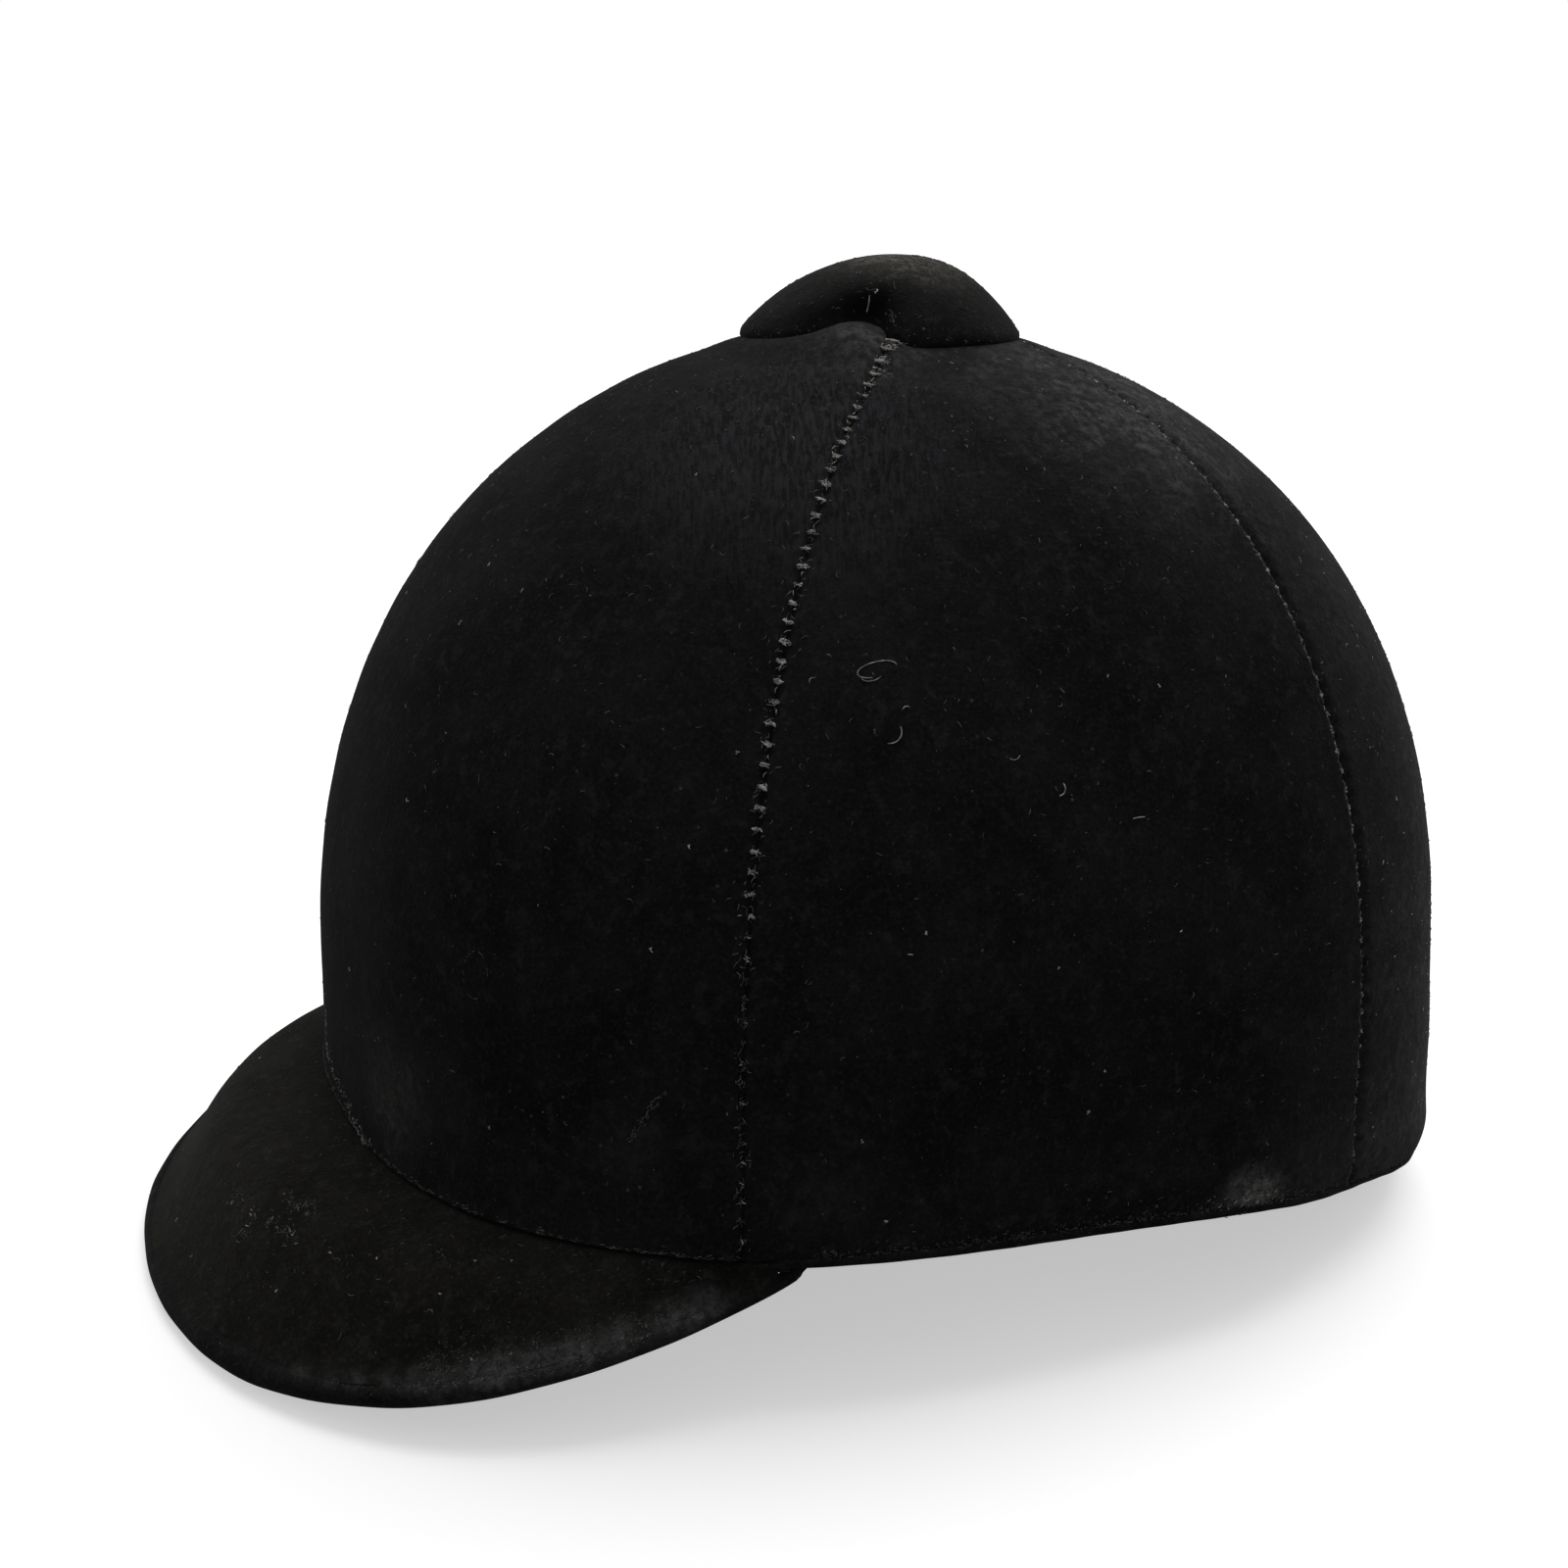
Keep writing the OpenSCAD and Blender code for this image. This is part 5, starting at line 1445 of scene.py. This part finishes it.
def from_loop(p):
    """Points of the strap's plane (across, sideways, away from the pivot) in dome coordinates."""
    p = np.asarray(p, float)
    c, s = math.cos(TUCK), math.sin(TUCK)
    return np.stack([p[..., 0] * c + p[..., 2] * s, p[..., 1], -p[..., 0] * s + p[..., 2] * c + PIVOT_Z], -1)


def strap_line(to, side):
    """Middle line of a strap half and its normals, from the tab's end up and over."""
    lean = math.radians(LEAN_IN)
    line = [(-STRAP_Y, z, -1.0, 0.0) for z in np.linspace(-TAB_LOW, TAB_HIGH, 12)]
    line += [(-STRAP_Y + t * math.sin(lean), TAB_HIGH + t * math.cos(lean), -math.cos(lean), math.sin(lean))
             for t in np.linspace(0, RUN, 20)[1:-1]]
    line += [(-ARC_R * math.cos(b), ARC_Z + ARC_R * math.sin(b), -math.cos(b), math.sin(b))
             for b in np.radians(np.linspace(LEAN_IN, to, int((to - LEAN_IN) * 1.2)))]
    line = np.array(line) * [side, 1, side, 1]
    return line[:, :2], line[:, 2:]


def box_of_stitches(name, s, p, n):
    """Stitches on both faces where the webbing is folded back above its pivot."""
    bag = Bag()

    def at(x, length, out):
        q, m = (np.array([np.interp(length, s, k[:, 0]), np.interp(length, s, k[:, 1])]) for k in (p, n))
        return from_loop([x, *(q + m * out)])
    corners = [(-7, 14.6), (7, 14.6), (7, 19.4), (-7, 19.4), (-7, 14.6)]
    for (xa, la), (xb, lb) in zip(corners, corners[1:]):
        k = max(2, int(math.hypot(xb - xa, lb - la) / 2.2))
        for i in range(k):
            for face in (0.86, -0.86):
                path = []
                for e, lift in ((0.08, -0.1), (0.35, 0.06), (0.65, 0.06), (0.92, -0.1)):
                    t = (i + e) / k
                    path.append(at(xa + (xb - xa) * t, la + (lb - la) * t, face + math.copysign(lift, face)))
                bag.tube(path, 0.22, 5, (0.3, 0.2, 1), 1.0)
    bag.make(name, M_THREAD, slot="webbing", body="chin_strap")


def strap(name, node, to, side):
    p, n = strap_line(to, side)
    s = running_length(p)
    # section: a flat band with round edges, a little thicker at its bound edges
    cols = np.concatenate([[-1, -0.985, -0.95], np.linspace(-0.9, 0.9, 19), [0.95, 0.985, 1]])
    thick = WEB_T / 2 * np.sqrt(np.clip(1 - np.abs(cols) ** 26, 0.02, 1)) * (1 + 0.05 * (np.abs(cols) > 0.8))
    narrow = np.ones(len(s))
    narrow[:5] = np.sqrt(np.clip(1 - ((1 - s[:5] / s[4]) * 0.75) ** 2, 0.1, 1))
    x = cols[None, :] * WEB_W / 2 * narrow[:, None]

    def face(sign):
        q = p[:, None] + n[:, None] * (sign * thick)[None, :, None]
        return from_loop(np.concatenate([x[..., None], q], -1))
    v, f = slab(face(1), face(-1))
    uv = np.stack([x / 1000, np.broadcast_to(s[:, None], x.shape) / 1000], -1)
    o = make(name, v, f, M_WEB, body="chin_strap", slot="webbing", uv=uv)
    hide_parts(node)
    box_of_stitches(name + "_stitches", s, p, n)


strap("left_strap_webbing", "left_chin_strap", BUCKLE_FROM + 1, 1)
strap("right_strap_webbing", "right_chin_strap", 180 - BUCKLE_TO + 1, -1)


def chin_pad():
    """A sleeve round the webbing; its inner grid lies close to the strap."""
    middle, half_span, count = 94, 18, 66
    half_width, half_thick, core_width, core_thick = 11.6, 2.55, 9.35, 1.12
    an = np.radians(np.linspace(middle - half_span, middle + half_span, count))[:, None]
    w = np.linspace(0, 2 * np.pi, 48, endpoint=False)[None, :]
    end = np.clip((1 - np.abs(np.degrees(an) - middle) / half_span) / 0.10, 0, 1)
    across = np.sign(np.cos(w)) * np.abs(np.cos(w)) ** 0.45 * half_width * (0.97 + 0.03 * end)
    outward_by = np.sign(np.sin(w)) * np.abs(np.sin(w)) ** 0.6 * half_thick * (0.62 + 0.38 * end ** 0.5)

    def sleeve(x, r):
        # columns run round the section so that the ends are the slab's rims
        grid = np.stack([x + 0 * r, -r * np.cos(an), ARC_Z + r * np.sin(an)], -1)
        return from_loop(grid).transpose(1, 0, 2)
    ends = fade(1 - np.abs(np.linspace(-1, 1, count)), 0.09)[None, :]
    seam = hump(w.T, np.pi * 1.5, 0.08)
    return pad_mesh("chin_pad_fabric", "chin_pad", sleeve(across, ARC_R + outward_by),
                    sleeve(np.cos(w) * core_width, ARC_R + np.sin(w) * core_thick + 0 * an),
                    np.maximum(ends, seam), ring=True, body="chin_strap")


CHIN = chin_pad()
CLOTH = {"quality": 6, "mass": 0.2, "tension_stiffness": 18, "compression_stiffness": 18,
         "shear_stiffness": 8, "bending_stiffness": 0.35, "use_pressure": True, "uniform_pressure_force": 4.0,
         "vertex_group_mass": "held"}


def puff(pads, limit, frames=20):
    """Cloth under a little pressure; no point moves further than its limit in metres."""
    scene = bpy.context.scene
    for o in pads:
        m = o.modifiers.new("Cloth", "CLOTH")
        for k, v in CLOTH.items():
            setattr(m.settings, k, v)
        m.settings.effector_weights.gravity = 0
        m.collision_settings.use_collision = False
        m.collision_settings.use_self_collision = False
    for k in range(1, frames + 1):
        scene.frame_set(k)
    deps = bpy.context.evaluated_depsgraph_get()
    for o in pads:
        moved = [v.co.copy() for v in o.evaluated_get(deps).data.vertices]
        for v, b in zip(o.data.vertices, moved):
            d = b - v.co
            v.co = v.co + d * min(1.0, limit / max(d.length, 1e-9))
        o.modifiers.clear()
        o.data.update()
    scene.frame_set(1)


puff(PADS + [CHIN], 0.0022)
for o in PADS + [CHIN]:
    m = o.modifiers.new("Subdivision", "SUBSURF")
    m.levels = m.render_levels = 1
    o.vertex_groups.clear()


# Hardware and mouldings: buckle, sliders and hangers are the CAD forms with their edges eased; the other CAD
# parts keep their forms and take materials

def eased(name, node, mat, body, width):
    o = bpy.data.objects.new(name, bpy.data.objects[node].data.copy())
    o.data.materials.clear()
    o.data.materials.append(mat)
    bpy.context.scene.collection.objects.link(o)
    bm = bmesh.new()
    bm.from_mesh(o.data)
    bmesh.ops.remove_doubles(bm, verts=bm.verts, dist=2e-6)
    bmesh.ops.dissolve_limit(bm, angle_limit=math.radians(1.5), verts=bm.verts, edges=bm.edges)
    bm.to_mesh(o.data)
    bm.free()
    m = o.modifiers.new("Bevel", "BEVEL")
    m.width, m.segments = width / 1000, 2
    m.limit_method, m.angle_limit = "ANGLE", math.radians(35)
    o.data.polygons.foreach_set("use_smooth", [False] * len(o.data.polygons))
    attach(o, body)
    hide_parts(node)


for name, node, mat, slot, body, width in (
        ("buckle_plug_form", "buckle_plug", M_BUCKLE, "buckle_plastic", "chin_strap", 0.9),
        ("buckle_socket_form", "buckle_socket", M_BUCKLE, "buckle_plastic", "chin_strap", 0.9),
        ("left_slider_form", "left_strap_slider", M_BUCKLE, "buckle_plastic", "left_slider", 0.5),
        ("right_slider_form", "right_strap_slider", M_BUCKLE, "buckle_plastic", "right_slider", 0.5),
        ("left_hanger_form", "left_strap_hanger", M_STEEL, "steel", "cap", 0.35),
        ("right_hanger_form", "right_strap_hanger", M_STEEL, "steel", "cap", 0.35)):
    eased(name, node, mat, body, width)

for node, mat in (("visor_board", M_BOARD), ("visor_rivets", M_STEEL), ("hanger_rivets", M_STEEL),
                  ("strap_pivot_pins", M_STEEL), ("crown_grommet", M_MOULD), ("button_screw", M_STEEL),
                  ("screw_washer", M_STEEL)):
    solid = bpy.data.objects[node]
    if not solid.material_slots:
        solid.data.materials.append(mat)
    for s in solid.material_slots:
        s.material = mat
